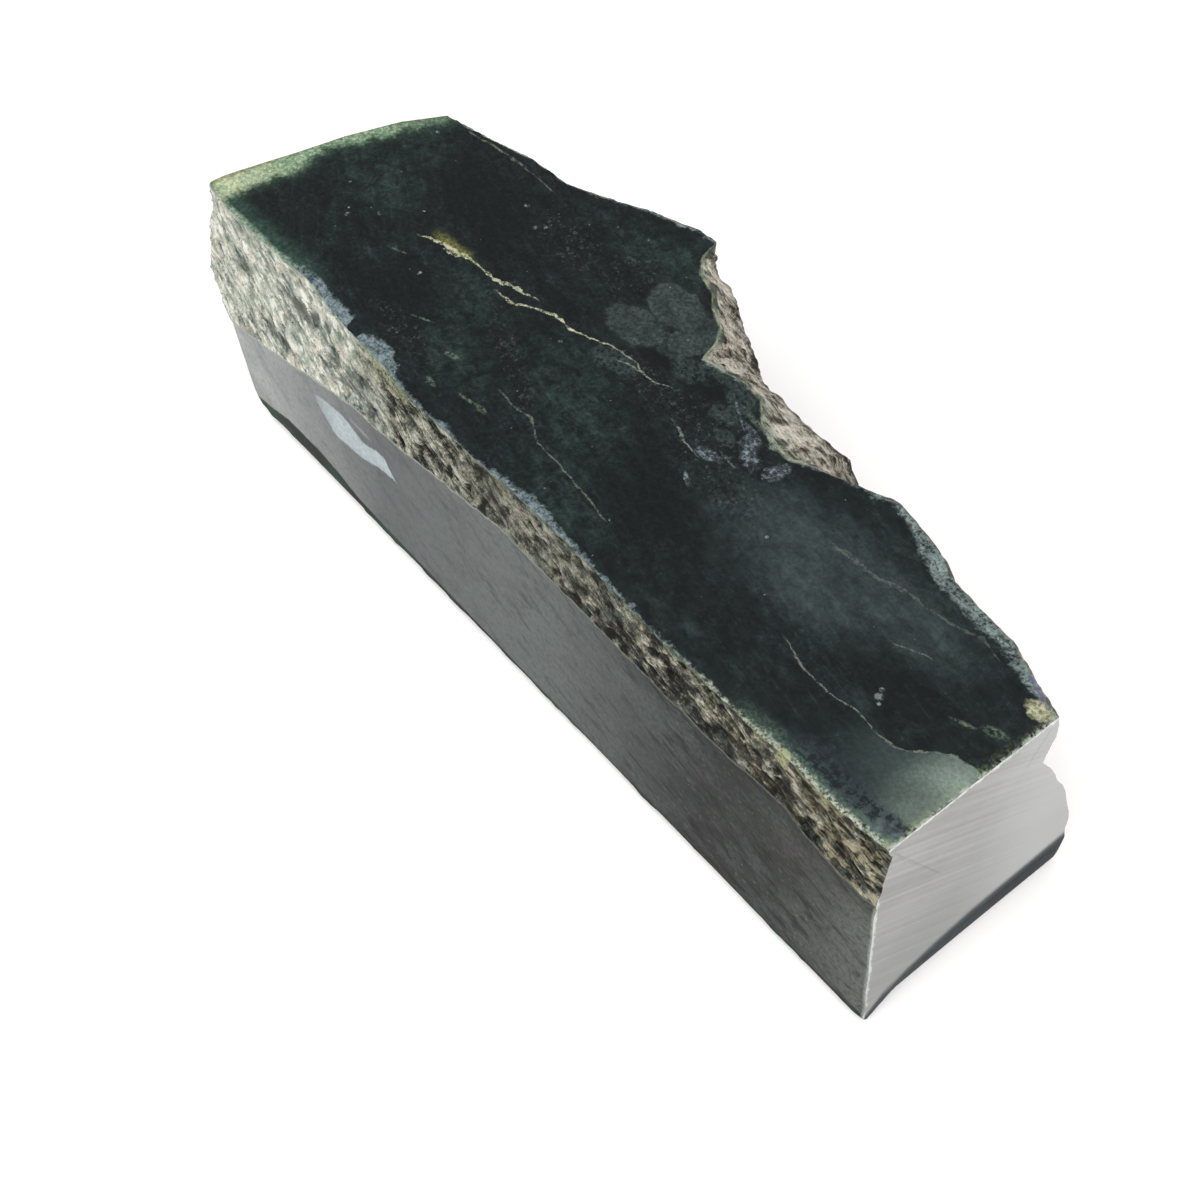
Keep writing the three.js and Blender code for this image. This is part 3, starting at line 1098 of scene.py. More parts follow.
CRYSTALS = [
    (29, -6.8, 3.2, 1.5, 20, 1.2), (35.5, 1.4, 4.6, 2.0, -25, 1.2), (33, 5, 2.6, 2, 0, 1.4),
    (45.5, 3, 2.2, 3.4, 0, 1.4), (23, 9.5, 5, 0.4, -30, 0.6), (31, 7.5, 3.6, 0.8, -10, 0.8),
    (31, -17, 2.4, 0.6, -30, 0.8),
]
GREEN_FLECKS = [
    (-44.4, -38.5, 2.3, 0.9, 16, 0.4), (-27.5, -45.2, 5, 0.6, 9, 0.7), (-24, -44.6, 2, 1.0, 0, 0.5),
    (-41, -49.2, 2, 0.7, -10, 0.6), (-89, -25.4, 3, 0.4, 22, 0.6), (-62, -36.5, 3, 0.4, 25, 0.6),
    (141, -12, 3.2, 1.3, 20, 0.7), (33.5, -4.2, 3.6, 0.4, -8, 0.5), (134, -16, 3, 0.6, 20, 0.8),
    (28.5, 10.8, 3.6, 0.9, -10, 0.5),
]
GREEN_CLOUDS = [
    (-44, -36, 18, 8, -15, 0.7), (-8, -24, 24, 11, -20, 0.6), (14, -46, 16, 9, -10, 0.6),
    (-118, 8, 9, 6, 0, 0.7), (-32, 34, 20, 9, 10, 0.7), (-62, -18, 14, 6, -20, 0.7),
    (-117, -12, 15, 10, 0, 0.7),
]
DARK_CLOUDS = [
    (-70, -35, 15, 7, -15, 0.8), (-36, -32, 8, 5, -15, 0.9), (-92, 6, 20, 8, -10, 0.8),
    (30, -30, 26, 10, 5, 0.8), (112, -20, 18, 7, -10, 0.8),
]
SPECKLED_ZONES = [
    (-32, -27, 24, 3.4, -24, 0.9), (8, -2, 34, 5, 2, 0.9), (-58, 16, 14, 7, -5, 0.9),
    (38, -12, 16, 6, 0, 0.9), (-62, -44, 14, 4, -8, 0.9), (-36, 22, 9, 10, 0, 0.9), (30, 2, 16, 8, 0, 0.9),
]
# Painted sheen: grey haze where the half-polished top reflects the bright surroundings.
PAINTED_SHEEN = [(74, -10, 30, 15, 4, 0.7), (98, -4, 24, 10, 0, 0.7)]
OLIVE_GLOW = [(-79, -12, 8.5, 3.6, -14, 0.5)]
CORNER_OVAL = [(144, -51.5, 4.5, 2.4, 10, 0.5)]
YELLOW_LUMP = [(112.0, -56.4, 2.3, 1.5, 5, 0.7)]
NODULE = [(143.8, 1.2, 3.8, 2.9, 10, 0.7)]
LAVENDER = [(139, 6.5, 6, 1.8, -20, 0.7)]

# White specks in the sawn top: x, y, reach.
WHITE_SPECKS = [
    (-111, -28, 0.7), (-122, -19, 0.4), (-123, 15, 0.5), (-79.4, 15.7, 0.7), (-70.4, 11.7, 0.6),
    (-68.4, 14.1, 0.5), (-29.6, -11.7, 0.5), (-77.2, -25.9, 0.5), (-105, -20.4, 0.6), (-97.3, -9.4, 0.4),
    (115, -26.5, 1.0), (114, -24.5, 0.6), (116.5, -28, 0.5), (60, -14, 0.5), (-113, -26, 0.3),
    (-46.6, -39.2, 0.5), (31, -17.5, 0.4),
]

# Dark nests in the rind of the sawn side: centre x, z, reach along and up.
DARK_NESTS = [(-115, 50, 8, 4), (-99, 71, 9, 4), (-78, 64, 10, 6), (-131, 66, 5, 4)]


class TopCoat(StoneCoat):
    """The half-polished top, with the patterns and distances that its marks share."""

    def __init__(self, effects, colours):
        super().__init__("polished_jade", 0.4, 0.22, effects)
        self.colours = colours
        self.blotch = self.noise(self.place, 4.5, 5.0, 0.68, 0.5)
        self.mottle = self.ease(self.blotch, 0.36, 0.64)
        self.speckle = self.spots(1.1, 4.0, 0.72, 0.38, 0.64)
        self.rough = self.centred(self.noise(self.place, 3.0, 5.0, 0.72))
        self.grains = self.group(effects.grains, Size=1.1)
        self.front_gap, self.back_gap, self.end_gap = self.split(self.own("gaps"))

    def flecked(self, start, finish):
        """From start to finish with the fine speckle."""
        return self.ease(self.speckle, 0.0, 1.0, start, finish)

    def ragged(self, amount, value):
        """A distance whose lines of equal value waver by this amount."""
        return self.times_plus(self.rough, amount, value)


def paint_body(top):
    """Jade itself. Its tone adds up clouds and streaks along its layers, blotches of a few
    millimetres and fine speckle, and runs from black-green to grey-green. Returns the tone."""
    clouds = top.patches(GREEN_CLOUDS, 0.55)
    drawn = top.vector("MULTIPLY", top.own("grain"), (1.0, 1.6, 1.0))
    tone = top.times(top.noise(drawn, 24.0, 5.0, 0.62, 0.8), 0.42)
    for part, share in (
        (top.fibres(14.0, 3.0), 0.38),
        (top.blotch, 0.50),
        (top.noise(top.place, 0.9, 3.0, 0.7), 0.47),
        (clouds, 0.06),
        (top.patches(DARK_CLOUDS, 0.5), -0.13),
    ):
        tone = top.times_plus(part, share, tone)
    green = np.array(top.colours.green)
    top.colour = top.ramp(
        top.ease(tone, 0.78, 1.24),
        (0.0, tuple(top.colours.deep)), (0.35, tuple(0.6 * green)),
        (0.6, tuple(green)), (1.0, tuple(2.2 * green)),
    )
    top.lay(shown(17, 24, 25), top.ease(top.fibres(20.0, 4.5), 0.36, 0.52, 0.5, 0.0))
    top.lay(shown(44, 66, 56), clouds, top.mottle, 0.3)
    return tone


def paint_near_half(top, tone):
    """Grey haze over the near half, a painted sheen for the soft reflection of the bright
    surroundings, with dark and pale smudges and thin pale wisps in it, and the pale zone in front
    of the end vein."""
    # Painted sheen: the soft reflection of the bright surroundings, laid as grey haze.
    top.lay(shown(64, 76, 76), top.patches(PAINTED_SHEEN, 0.6), top.ease(tone, 0.6, 1.15, 0.2, 0.75))
    smudge = top.noise(top.vector("MULTIPLY", top.place, (0.7, 1.2, 1.0)), 8.0, 6.0, 0.66, 0.1)
    near = top.along(40.0, 70.0)
    top.lay(shown(22, 28, 30), top.ease(smudge, 0.48, 0.64, 0.0, 0.42), near)
    top.lay(shown(84, 96, 96), top.ease(smudge, 0.3, 0.48, 0.13, 0.0), near)
    wisps = top.ease(top.fibres(26.0, 1.3), 0.58, 0.72)
    top.lay(shown(96, 110, 110), wisps, top.along(50.0, 90.0), top.mottle, 0.1)

    past = top.ragged(2.5, top.split(top.own("end_vein"))[0])
    lit = top.times(top.along(130.0, 146.0), top.ease(past, -8.0, -0.5, 1.0, 0.6))
    top.lay(
        top.mix(lit, shown(54, 66, 65), shown(140, 156, 146)),
        top.ease(past, -0.5, 0.2, 1.0, 0.0), top.ease(past, -15.0, -3.0, 0.45, 1.0),
        top.along(112.0, 132.0), top.flecked(0.75, 1.0), 0.9,
    )


def paint_speckled_zones(top):
    """Dark and pale speckles."""
    zone = top.patches(SPECKLED_ZONES, 0.45)
    top.lay(shown(14, 16, 17), zone, top.spots(1.6, 4.0, 0.7, 0.47, 0.62), 0.9)
    top.lay(shown(94, 101, 101), zone, top.spots(1.5, 6.0, 0.85, 0.54, 0.66, shift=(31, 7, 3)), 0.55)


def paint_dull_lobes(top):
    """Dull lobes behind, each with a dark rim, and the same broken up by black holes beyond the
    notch. Returns the mask of the lobes."""
    top.lay(shown(22, 27, 29), top.patches(DULL_LOBES, 0.5), 0.45)
    dull = top.mix(top.mottle, shown(40, 50, 49), shown(59, 70, 68))
    dull = top.mix(top.ease(top.speckle, 0.0, 0.5, 0.6, 0.0), dull, shown(28, 35, 35))
    worn = top.spots(7.0, 4.0, 0.6, 0.36, 0.56, 0.6, 0.92)
    inside = 0.0
    for row in DULL_LOBES:
        lobe = top.patches([row], 0.1)
        top.lay(dull, lobe, worn)
        top.lay(shown(20, 26, 28), lobe, top.less(1.0, lobe), 2.8)
        inside = top.most(lobe, inside)
    top.lay(dull, top.patches(BROKEN_LOBES, 0.2), top.spots(2.2, 4.0, 0.7, 0.40, 0.48), 0.75)
    top.lay(shown(11, 12, 15), top.patches(BLACK_HOLES, 0.3), 0.8)
    return inside


def paint_crystals(top):
    """Green flecks, and pale crystals with bright cores, partly painted glints, and thin needles.
    Returns the mask of the crystals."""
    top.lay(shown(98, 116, 98), top.patches(GREEN_FLECKS, 0.5), top.speckle, 0.75)
    # Partly painted glints: the bright cores of the crystals, over their own paler mineral.
    core = top.spots(1.9, 4.0, 0.7, 0.44, 0.60, shift=(5, 9, 1))
    needle = top.centred(top.noise(top.place, 1.6, 3.0, 0.6, shift=(2, 6, 8)))
    needle = top.ease(top.size_of(needle), 0.0, 0.03, 0.8, 0.0)
    crystals = top.times(top.patches(CRYSTALS, 0.5), top.ease(core, 0.0, 1.0, 0.35, 1.0))
    bright = top.mix(core, shown(48, 56, 64), shown(118, 131, 140))
    top.lay(top.mix(needle, bright, shown(158, 168, 174)), crystals, 0.95)
    return crystals


def paint_veins(top):
    """Olive glow on the back of the cream vein, the veins, and white specks and dust."""
    behind = top.split(top.own("cream_vein"))[0]
    glow = top.times(top.patches(OLIVE_GLOW, 0.6), top.ease(behind, -0.6, 0.5))
    top.lay(shown(118, 118, 66), glow, top.ease(behind, 0.5, 5.0, 1.0, 0.0), top.flecked(0.5, 1.0))
    for name in VEINS:
        cream = name.startswith("cream")
        tint = tuple(top.colours.vein) if cream else shown(132, 138, 124)
        top.lay(tint, top.group(top.effects.vein, Vein=top.own(name)))
    white = top.patches([(x, y, reach, reach, 0, 0.5) for x, y, reach in WHITE_SPECKS], 0.6)
    dust = top.specks(3.2, 0.09, 0.2)
    top.lay(shown(160, 170, 170), top.most(top.times(white, top.speckle), top.times(dust, 0.45)), 0.7)


def paint_green_edges(top, far):
    """Green glow inside the crust, painted light that shines through where the jade is thin, a row
    of dark dots by the near crust and a slaty oval in its corner."""
    # Painted light: green glow through the thin jade by the front edge, the near crust and the far skin.
    thin_jade_glow = top.times(top.ease(top.front_gap, 0.5, 9.0, 1.0, 0.0), top.along(-104.0, -84.0, 1.0, 0.0))
    top.lay(shown(52, 76, 66), thin_jade_glow, top.ease(top.mottle, 0.0, 1.0, 0.55, 0.9))
    near = top.ease(top.ragged(5.0, top.front_gap), 3.0, 7.0, 1.0, 0.0)
    top.lay(shown(74, 94, 84), near, top.along(86.0, 108.0), top.flecked(0.3, 0.85))
    top.lay(shown(52, 76, 62), top.ease(top.ragged(8.0, far), -6.0, 1.0), 0.6)

    row = top.add(top.front_gap, top.times(top.rough, 6.0))
    row = top.times(top.ease(row, 2.5, 4.0), top.ease(row, 7.5, 10.0, 1.0, 0.0), top.along(104.0, 116.0))
    top.lay(shown(46, 54, 60), row, 0.6)
    top.lay(shown(20, 25, 30), row, top.spots(1.9, 5.0, 0.75, 0.46, 0.54, shift=(1, 8, 4)), 0.9)
    slaty = top.mix(top.mottle, shown(42, 51, 55), shown(94, 106, 110))
    top.lay(slaty, top.patches(CORNER_OVAL, 0.2), 0.7)


def paint_edge_crumbs(top):
    """A yellow lump and pale crumbs on the near front edge, an olive fringe by the sawn end and a
    broken pale rim round the notch."""
    lump = top.patches(YELLOW_LUMP, 0.3)
    top.lay(shown(172, 174, 134), lump, top.ease(top.grains, 0.1, 0.6, 0.25, 0.9))
    crumbs = top.ease(top.ragged(3.0, top.front_gap), 0.8, 1.8, 1.0, 0.0)
    crumbs = top.times(crumbs, top.along(98.0, 114.0), top.ease(top.grains, 0.4, 0.62))
    top.lay(shown(196, 204, 186), crumbs, top.spots(6.0, 3.0, 0.6, 0.44, 0.58, 0.1, 0.8, shift=(8, 3, 6)))
    fringe = top.ease(top.ragged(9.0, top.end_gap), 0.6, 3.4, 0.75, 0.0)
    nearer = top.ease(top.y, -58.0, -8.0, 1.0, 0.3)
    top.lay(shown(120, 134, 100), fringe, top.ease(top.grains, 0.25, 0.7), nearer)
    notch = top.ease(top.ragged(1.6, top.back_gap), 0.25, 0.8, 0.8, 0.0)
    notch = top.times(notch, top.along(-33.0, -29.0), top.along(44.0, 48.0, 1.0, 0.0))
    top.lay(shown(150, 152, 118), notch, top.spots(3.4, 4.0, 0.65, 0.4, 0.58, 0.2, 1.0))


def paint_far_skin(top, far):
    """Pale green skin at the far end, with paler specks and a brown line along its very edge."""
    skin = top.mix(top.ease(top.y, -46.0, -24.0), tuple(top.colours.skin), shown(96, 120, 94))
    skin = top.mix(top.times(top.mottle, 0.7), skin, shown(106, 138, 112))
    skin = top.mix(top.ease(top.speckle, 0.3, 1.0, 0.0, 0.42), skin, shown(196, 204, 172))
    edge = top.ease(top.ragged(2.0, top.own("far_gap", "Fac")), -0.2, 0.8, 0.55, 0.0)
    skin = top.mix(edge, skin, shown(112, 104, 76))
    inner = top.add(top.times(top.rough, 6.0), top.times(top.centred(top.blotch), 8.0))
    inside = top.ease(top.add(inner, far), -2.4, 2.2)
    top.lay(skin, inside, top.ease(top.y, 0.0, 16.0, 1.0, 0.5))


def paint_crust(top):
    """Grainy crust along the edges: pale green, then blue-grey, then green at the front, and dark
    green at the back, and the marks in and beside it. Returns the masks of the front and back
    crust, of the nodule in the near corner at the back and of the rim by the sawn end."""
    front, back, far = top.split(top.own("crust"))
    front_rough = top.times(top.rough, top.along(-118.0, -100.0, 2.0, 7.0))
    front_mask = top.ease(top.add(front_rough, front), -0.8, 0.6)
    back_mask = top.ease(top.ragged(7.0, back), -0.8, 1.0)
    paint_green_edges(top, far)

    sharp = top.ease(top.grains, 0.08, 0.85)
    blue = top.mix(sharp, shown(54, 70, 74), shown(130, 146, 150))
    green = top.mix(sharp, shown(40, 50, 46), shown(176, 186, 166))
    pale_green = top.mix(sharp, shown(92, 116, 98), shown(150, 170, 148))
    front_colour = top.mix(top.along(-112.0, -98.0), pale_green, blue)
    top.lay(top.mix(top.along(60.0, 95.0), front_colour, green), front_mask, 0.92)
    back_colour = top.mix(sharp, shown(30, 42, 42), shown(148, 164, 160))
    gaps = top.ease(top.mottle, 0.0, 1.0, 0.45, 0.0)
    top.lay(top.mix(gaps, back_colour, shown(28, 38, 38)), back_mask, 0.9)
    paint_edge_crumbs(top)
    paint_far_skin(top, far)

    nodule = top.patches(NODULE, 0.2)
    top.lay(top.mix(sharp, shown(108, 110, 84), shown(192, 190, 160)), nodule)
    top.lay(shown(122, 120, 148), top.patches(LAVENDER, 0.4), 0.55)
    rim = top.ease(top.ragged(3.4, top.end_gap), 0.1, 1.1, 1.0, 0.0)
    top.lay(shown(176, 184, 172), rim, top.ease(top.grains, 0.2, 0.8))
    return front_mask, back_mask, nodule, rim


def polished_jade(effects, colours):
    """Half-polished top: dark jade with green clouds, a grey haze of painted sheen, speckled zones,
    dull lobes, crystals whose bright cores are partly painted glints, cream veins, a painted green
    glow through the thin jade inside the crust, and pale grainy crust along its edges."""
    top = TopCoat(effects, colours)
    paint_near_half(top, paint_body(top))
    paint_speckled_zones(top)
    lobes = paint_dull_lobes(top)
    crystals = paint_crystals(top)
    paint_veins(top)
    front, back, nodule, rim = paint_crust(top)

    # Fine grain over the whole top, weaker over the glassier near half.
    grit = top.noise(top.place, 1.3, 5.0, 0.78, shift=(4, 2, 9))
    darkest, palest = top.along(20.0, 70.0, 0.62, 0.9), top.along(20.0, 70.0, 1.42, 1.1)
    top.colour = top.mix(1.0, top.colour, top.ease(grit, 0.34, 0.66, darkest, palest), "MULTIPLY")

    crusty = top.most(top.most(front, top.most(back, crystals)), top.most(nodule, rim))
    dullness = top.most(crusty, top.times(lobes, 0.4))
    gloss = top.ease(top.blotch, 0.35, 0.7, 0.36, 0.5)
    roughness = top.maths("MULTIPLY_ADD", dullness, 0.4, gloss, clamp=True)
    pits = top.times(top.noise(top.place, 0.7, 3.0, 0.6), 0.18)
    height = top.times_plus(lobes, 0.15, top.times_plus(crusty, top.grains, pits))
    return top.finish(roughness, height, 0.35)


def paint_lens(side, marks, mottle, fine, ragged):
    """The pale lens in the sawn side, with a soft ragged outline, and a thin stroke above it."""
    lens_top, lens_foot, _ = marks
    inside = side.maths("MINIMUM", side.less(lens_top, side.z), side.less(side.z, lens_foot))
    lens = side.ease(side.times_plus(ragged, 3.0, inside), -0.3, 0.8)
    pale = side.mix(side.ease(mottle, 0.35, 0.65), shown(181, 190, 192), shown(160, 170, 174))
    pale = side.mix(side.ease(fine, 0.4, 0.62, 0.0, 0.55), pale, shown(148, 160, 164))
    side.lay(pale, lens, side.along(-96.0, -80.0, 0.45, 0.9))
    stroke = side.times_plus(ragged, 1.6, side.less(side.z, STROKE_Z))
    stroke = side.ease(side.size_of(stroke), 0.1, 1.2, 0.4, 0.0)
    side.lay(shown(150, 160, 160), stroke, side.along(-76.0, -73.0), side.along(-67.0, -63.0, 1.0, 0.0))


def paint_foot(side, marks, mottle, fine, ragged):
    """Dark band along the foot, partly painted shade where the stone meets the floor, the dark
    slope under the sawn end, painted shade, a thin pale line where the rind's foot was cut, and
    the pale upright edge by the sawn end, partly a painted highlight."""
    # Partly painted shade: the dark band along the foot, where the stone meets the floor.
    foot = side.times_plus(ragged, 1.4, side.less(marks[2], side.z))
    blotchy = side.ease(mottle, 0.4, 0.6)
    side.lay(side.mix(blotchy, shown(16, 24, 20), shown(40, 58, 50)), side.ease(foot, -0.2, 0.9), 0.95)
    end_gap = side.less(side.times_plus(side.z, -END_LEAN, END_X), side.x)
    # Painted shade: the slope of the undercut under the sawn end is painted dark.
    slope = side.times(side.ease(end_gap, 3.0, 3.6, 1.0, 0.0), side.ease(side.y, -57.0, -56.0))
    side.lay(side.mix(blotchy, shown(26, 31, 33), shown(46, 54, 58)), slope)

    gap = side.size_of(side.less(side.own("rind_gap", "Fac"), 0.3))
    gap = side.ease(side.times_plus(fine, 1.4, gap), 0.7, 1.5, 1.0, 0.0)
    side.lay(shown(166, 168, 154), gap, side.along(-40.0, 40.0, 0.6, 0.2))
    # Partly painted highlight: the pale upright edge by the sawn end, partly its chipped stone.
    edge = side.ease(side.times_plus(fine, -2.5, end_gap), -1.1, 0.2, 0.7, 0.0)
    side.lay(shown(160, 164, 156), edge, side.ease(side.y, -56.5, -55.5, 1.0, 0.0))


def dull_jade(effects, colours):
    """Sawn side and underside: dull grey that darkens towards the sawn end, partly as painted shade
    of a leaning slab that is not built, with faint streaks along the layers, a pale lens near the
    far end, pale flecks and scratches towards the sawn end, painted shade just below the rind
    there, and a dark worn foot whose dark band is partly painted shade."""
    side = StoneCoat("dull_sawn_jade", 0.72, 0.08, effects)
    smudge = side.fibres(11.0, 4.0)
    mottle = side.noise(side.place, 22.0, 5.0, 0.6)
    fine = side.noise(side.place, 1.6, 4.0, 0.7)
    ragged = side.centred(side.noise(side.place, 2.4, 5.0, 0.7))
    near = side.along(20.0, 90.0)
    # Partly painted shade: the ramp is the jade's own grey, darkened past the middle where a leaning slab,
    # not built, shades the side.
    side.colour = side.ramp(
        side.share(side.x, -150.0, 150.0),
        (0.0, shown(166, 168, 166)), (0.1, shown(146, 149, 148)), (0.3, tuple(colours.sawn)),
        (0.55, shown(96, 100, 99)), (0.78, shown(41, 43, 42)), (0.9, shown(47, 49, 47)),
        (1.0, shown(86, 89, 84)),
    )
    side.lay(shown(96, 104, 102), side.ease(mottle, 0.42, 0.66, 0.0, 0.3))
    stain = side.spots(9.0, 5.0, 0.65, 0.5, 0.66, 0.0, 0.32, shift=(13, 1, 6))
    side.lay(shown(82, 76, 80), stain, side.along(-95.0, -70.0))
    dark = side.mix(near, shown(60, 62, 64), shown(26, 28, 27))
    side.lay(dark, side.ease(smudge, 0.5, 0.7), side.along(-100.0, 80.0, 0.2, 0.75))
    grit = side.mix(near, shown(66, 70, 70), shown(34, 36, 36))
    side.lay(grit, side.ease(fine, 0.46, 0.64), side.along(-60.0, 90.0, 0.12, 0.4))
    # Painted shade: darker just below the rind on the near stretch, where the rind's edge and the leaning
    # slab shade the side.
    side.lay(shown(30, 34, 30), side.ease(side.own("rind_gap", "Fac"), 0.0, 12.0, 0.5, 0.0), near)
    scratch = side.ease(side.fibres(2.6, 0.5), 0.6, 0.72)
    side.lay(shown(124, 126, 116), scratch, near, side.ease(smudge, 0.42, 0.6, 0.9, 0.1))
    side.lay(shown(128, 132, 126), side.specks(3.4, 0.14, 0.3), near, side.ease(mottle, 0.4, 0.6, 0.2, 0.8))
    marks = side.split(side.own("side_marks"))
    paint_lens(side, marks, mottle, fine, ragged)
    paint_foot(side, marks, mottle, fine, ragged)
    side.colour = side.mix(1.0, side.colour, side.ease(fine, 0.34, 0.66, 1.06, 0.95), "MULTIPLY")
    return side.finish(side.ease(mottle, 0.3, 0.7, 0.56, 0.7), fine, 0.12)


def sawn_end(effects, colours):
    """Sawn end: dusty pale grey with straight saw lines that fall towards the back, a few dark
    pits, a ragged pale upper edge and a dark slaty band along its lower edge, painted shade where
    the edge turns under."""
    end = StoneCoat("sawn_end", 0.7, 0.25, effects)
    turned = end.rotated(end.place, "X_AXIS", Angle=SAW_TILT)
    rules = end.vector("MULTIPLY", turned, (0.0, 0.007, 1.0))
    lines = end.noise(rules, 4.5, 5.0, 0.62)
    fine_lines = end.noise(rules, 0.9, 3.0, 0.6)
    grit = end.noise(end.place, 1.0, 3.0, 0.7)
    tone = end.times_plus(lines, 1.0, end.times(end.noise(end.place, 16.0, 4.0, 0.55), 0.3))
    tone = end.times_plus(grit, 0.1, end.times_plus(fine_lines, 0.45, tone))
    grey = np.array(colours.end)
    end.colour = end.mix(end.ease(tone, 0.7, 1.16), tuple(0.82 * grey), tuple(1.19 * grey))
    end.lay(shown(132, 133, 132), end.ease(end.z, 15.0, 80.0, 0.58, 0.0))
    end.lay(shown(190, 191, 190), end.ease(end.y, -30.0, 10.0, 0.0, 0.5))
    end.lay(shown(50, 54, 58), end.specks(6.0, 0.07, 0.06), 0.8)
    # Painted shade: a dark band just above the end's lower edge, where it turns under towards the floor.
    above = end.times_plus(grit, -1.2, end.own("foot_gap", "Fac"))
    end.lay(shown(46, 54, 58), end.ease(above, 0.4, 4.2, 1.0, 0.0))
    chips = end.times(end.noise(end.place, 2.6, 6.0, 0.78), 5.0)
    top = end.ease(end.add(end.z, chips), HEIGHT + 0.9, HEIGHT + 1.7)
    end.lay(shown(212, 214, 206), top, end.ease(grit, 0.35, 0.6, 0.45, 1.0))
    end.lay(shown(204, 206, 202), end.ease(end.less(end.y, chips), SIDE_Y - 2.0, SIDE_Y - 1.1, 0.7, 0.0))
    return end.finish(end.ease(lines, 0.3, 0.7, 0.62, 0.78), end.times_plus(fine_lines, 0.5, lines), 0.08)


class RindCoat(StoneCoat):
    """The weathered rind, with the patterns that its colours share."""

    def __init__(self, effects):
        super().__init__("weathered_rind", 0.85, 0.2, effects)
        self.far = self.along(-80.0, -50.0, 1.0, 0.0)
        self.coarse = self.mix(self.far, self.fibres(4.5, 2.0), self.fibres(10.5, 4.4))
        self.fine = self.mix(self.far, self.fibres(2.2, 0.8), self.fibres(5.2, 2.0))
        self.crumb = self.noise(self.place, 0.8, 4.0, 0.75)
        self.lumps = self.noise(self.place, 4.5, 5.0, 0.7)
        self.broad = self.noise(self.place, 8.0, 5.0, 0.65, shift=(17, 23, 5))
        fibrous = self.most(self.ease(self.y, 0.0, 10.0, 0.0, 0.8), self.along(-70.0, -50.0, 0.0, 0.6))
        self.hairs = self.times(self.centred(self.fibres(4.5, 0.42)), fibrous)
        self.tone = self.rind_tone()

    def rind_tone(self):
        """From 0 in the dark crevices to 1 on the palest fibres: the relief's height, fibres of
        three sizes, crumbs and lumps added up, with weaker lumps on the back."""
        back = self.ease(self.y, 0.0, 10.0)
        tone = self.times(self.own("height", "Fac"), 0.34)
        for part, share in (
            (self.coarse, self.times_plus(self.far, 0.16, 0.30)),
            (self.fine, 0.30),
            (self.crumb, self.times_plus(self.far, -0.16, 0.50)),
            (self.lumps, self.times_plus(back, -0.26, 0.50)),
            (back, 0.155),
            (self.hairs, 0.6),
        ):
            tone = self.times_plus(part, share, tone)
        return self.ease(tone, 0.76, 1.24)


# Colours of the rind from its crevices to its palest fibres: (place on the ramp, colour).
BEIGE = (
    (0.0, shown(18, 20, 19)), (0.2, shown(52, 54, 49)), (0.42, shown(112, 112, 100)),
    (0.7, shown(164, 162, 146)), (1.0, shown(222, 220, 204)),
)
TAN = (
    (0.0, shown(10, 11, 11)), (0.3, shown(28, 29, 26)), (0.55, shown(60, 58, 49)),
    (0.8, shown(112, 107, 91)), (1.0, shown(196, 192, 174)),
)
PINK = (
    (0.0, shown(78, 74, 68)), (0.2, shown(118, 111, 102)), (0.5, shown(160, 151, 140)),
    (0.75, shown(186, 178, 166)), (1.0, shown(220, 214, 203)),
)
FIBROUS = (
    (0.0, shown(36, 34, 31)), (0.25, shown(92, 87, 78)), (0.5, shown(164, 157, 143)),
    (0.75, shown(206, 200, 184)), (1.0, shown(236, 232, 218)),
)


def cream_rind(rind, colours):
    """Cream of the far end, with warm, green, white and shaded patches."""
    cream = rind.ramp(
        rind.tone,
        (0.0, shown(66, 76, 76)), (0.14, shown(116, 126, 120)), (0.34, shown(164, 170, 157)),
        (0.6, tuple(colours.cream)), (1.0, shown(242, 241, 230)),
    )
    cream = rind.mix(rind.ease(rind.broad, 0.5, 0.6, 0.0, 0.45), cream, shown(210, 198, 176))
    drawn = rind.vector("DIVIDE", rind.own("grain"), (1.5, 1.2, 1.3))
    for size, roughness, low, high, most, shift, patch in (
        (4.2, 0.68, 0.5, 0.58, 0.62, (57, 3, 15), shown(118, 136, 122)),
        (3.4, 0.68, 0.52, 0.60, 0.75, (5, 31, 50), shown(236, 237, 226)),
        (3.0, 0.7, 0.56, 0.64, 0.6, (25, 11, 34), shown(84, 98, 96)),
    ):
        noise = rind.noise(drawn, size, 5.0, roughness, shift=shift)
        cream = rind.mix(rind.ease(noise, low, high, 0.0, most), cream, patch)
    return cream


def tan_rind(rind, beige):
    """Tan of the sawn end's half, with patches of beige and golden flakes."""
    tan = rind.mix(rind.ease(rind.broad, 0.46, 0.6, 0.0, 0.5), rind.ramp(rind.tone, *TAN), beige)
    flaky = rind.vector("DIVIDE", rind.own("grain"), (6.0, 2.2, 4.0))
    flake = rind.ease(rind.noise(flaky, 1.0, 3.0, 0.6), 0.46, 0.56)
    gold = rind.mix(rind.along(116.0, 132.0), shown(158, 146, 112), shown(168, 158, 130))
    flake = rind.times(flake, rind.along(90.0, 104.0), rind.ease(rind.tone, 0.0, 0.7, 0.15, 0.8))
    return rind.mix(rind.times(flake, rind.along(114.0, 130.0, 0.22, 1.0)), tan, gold)


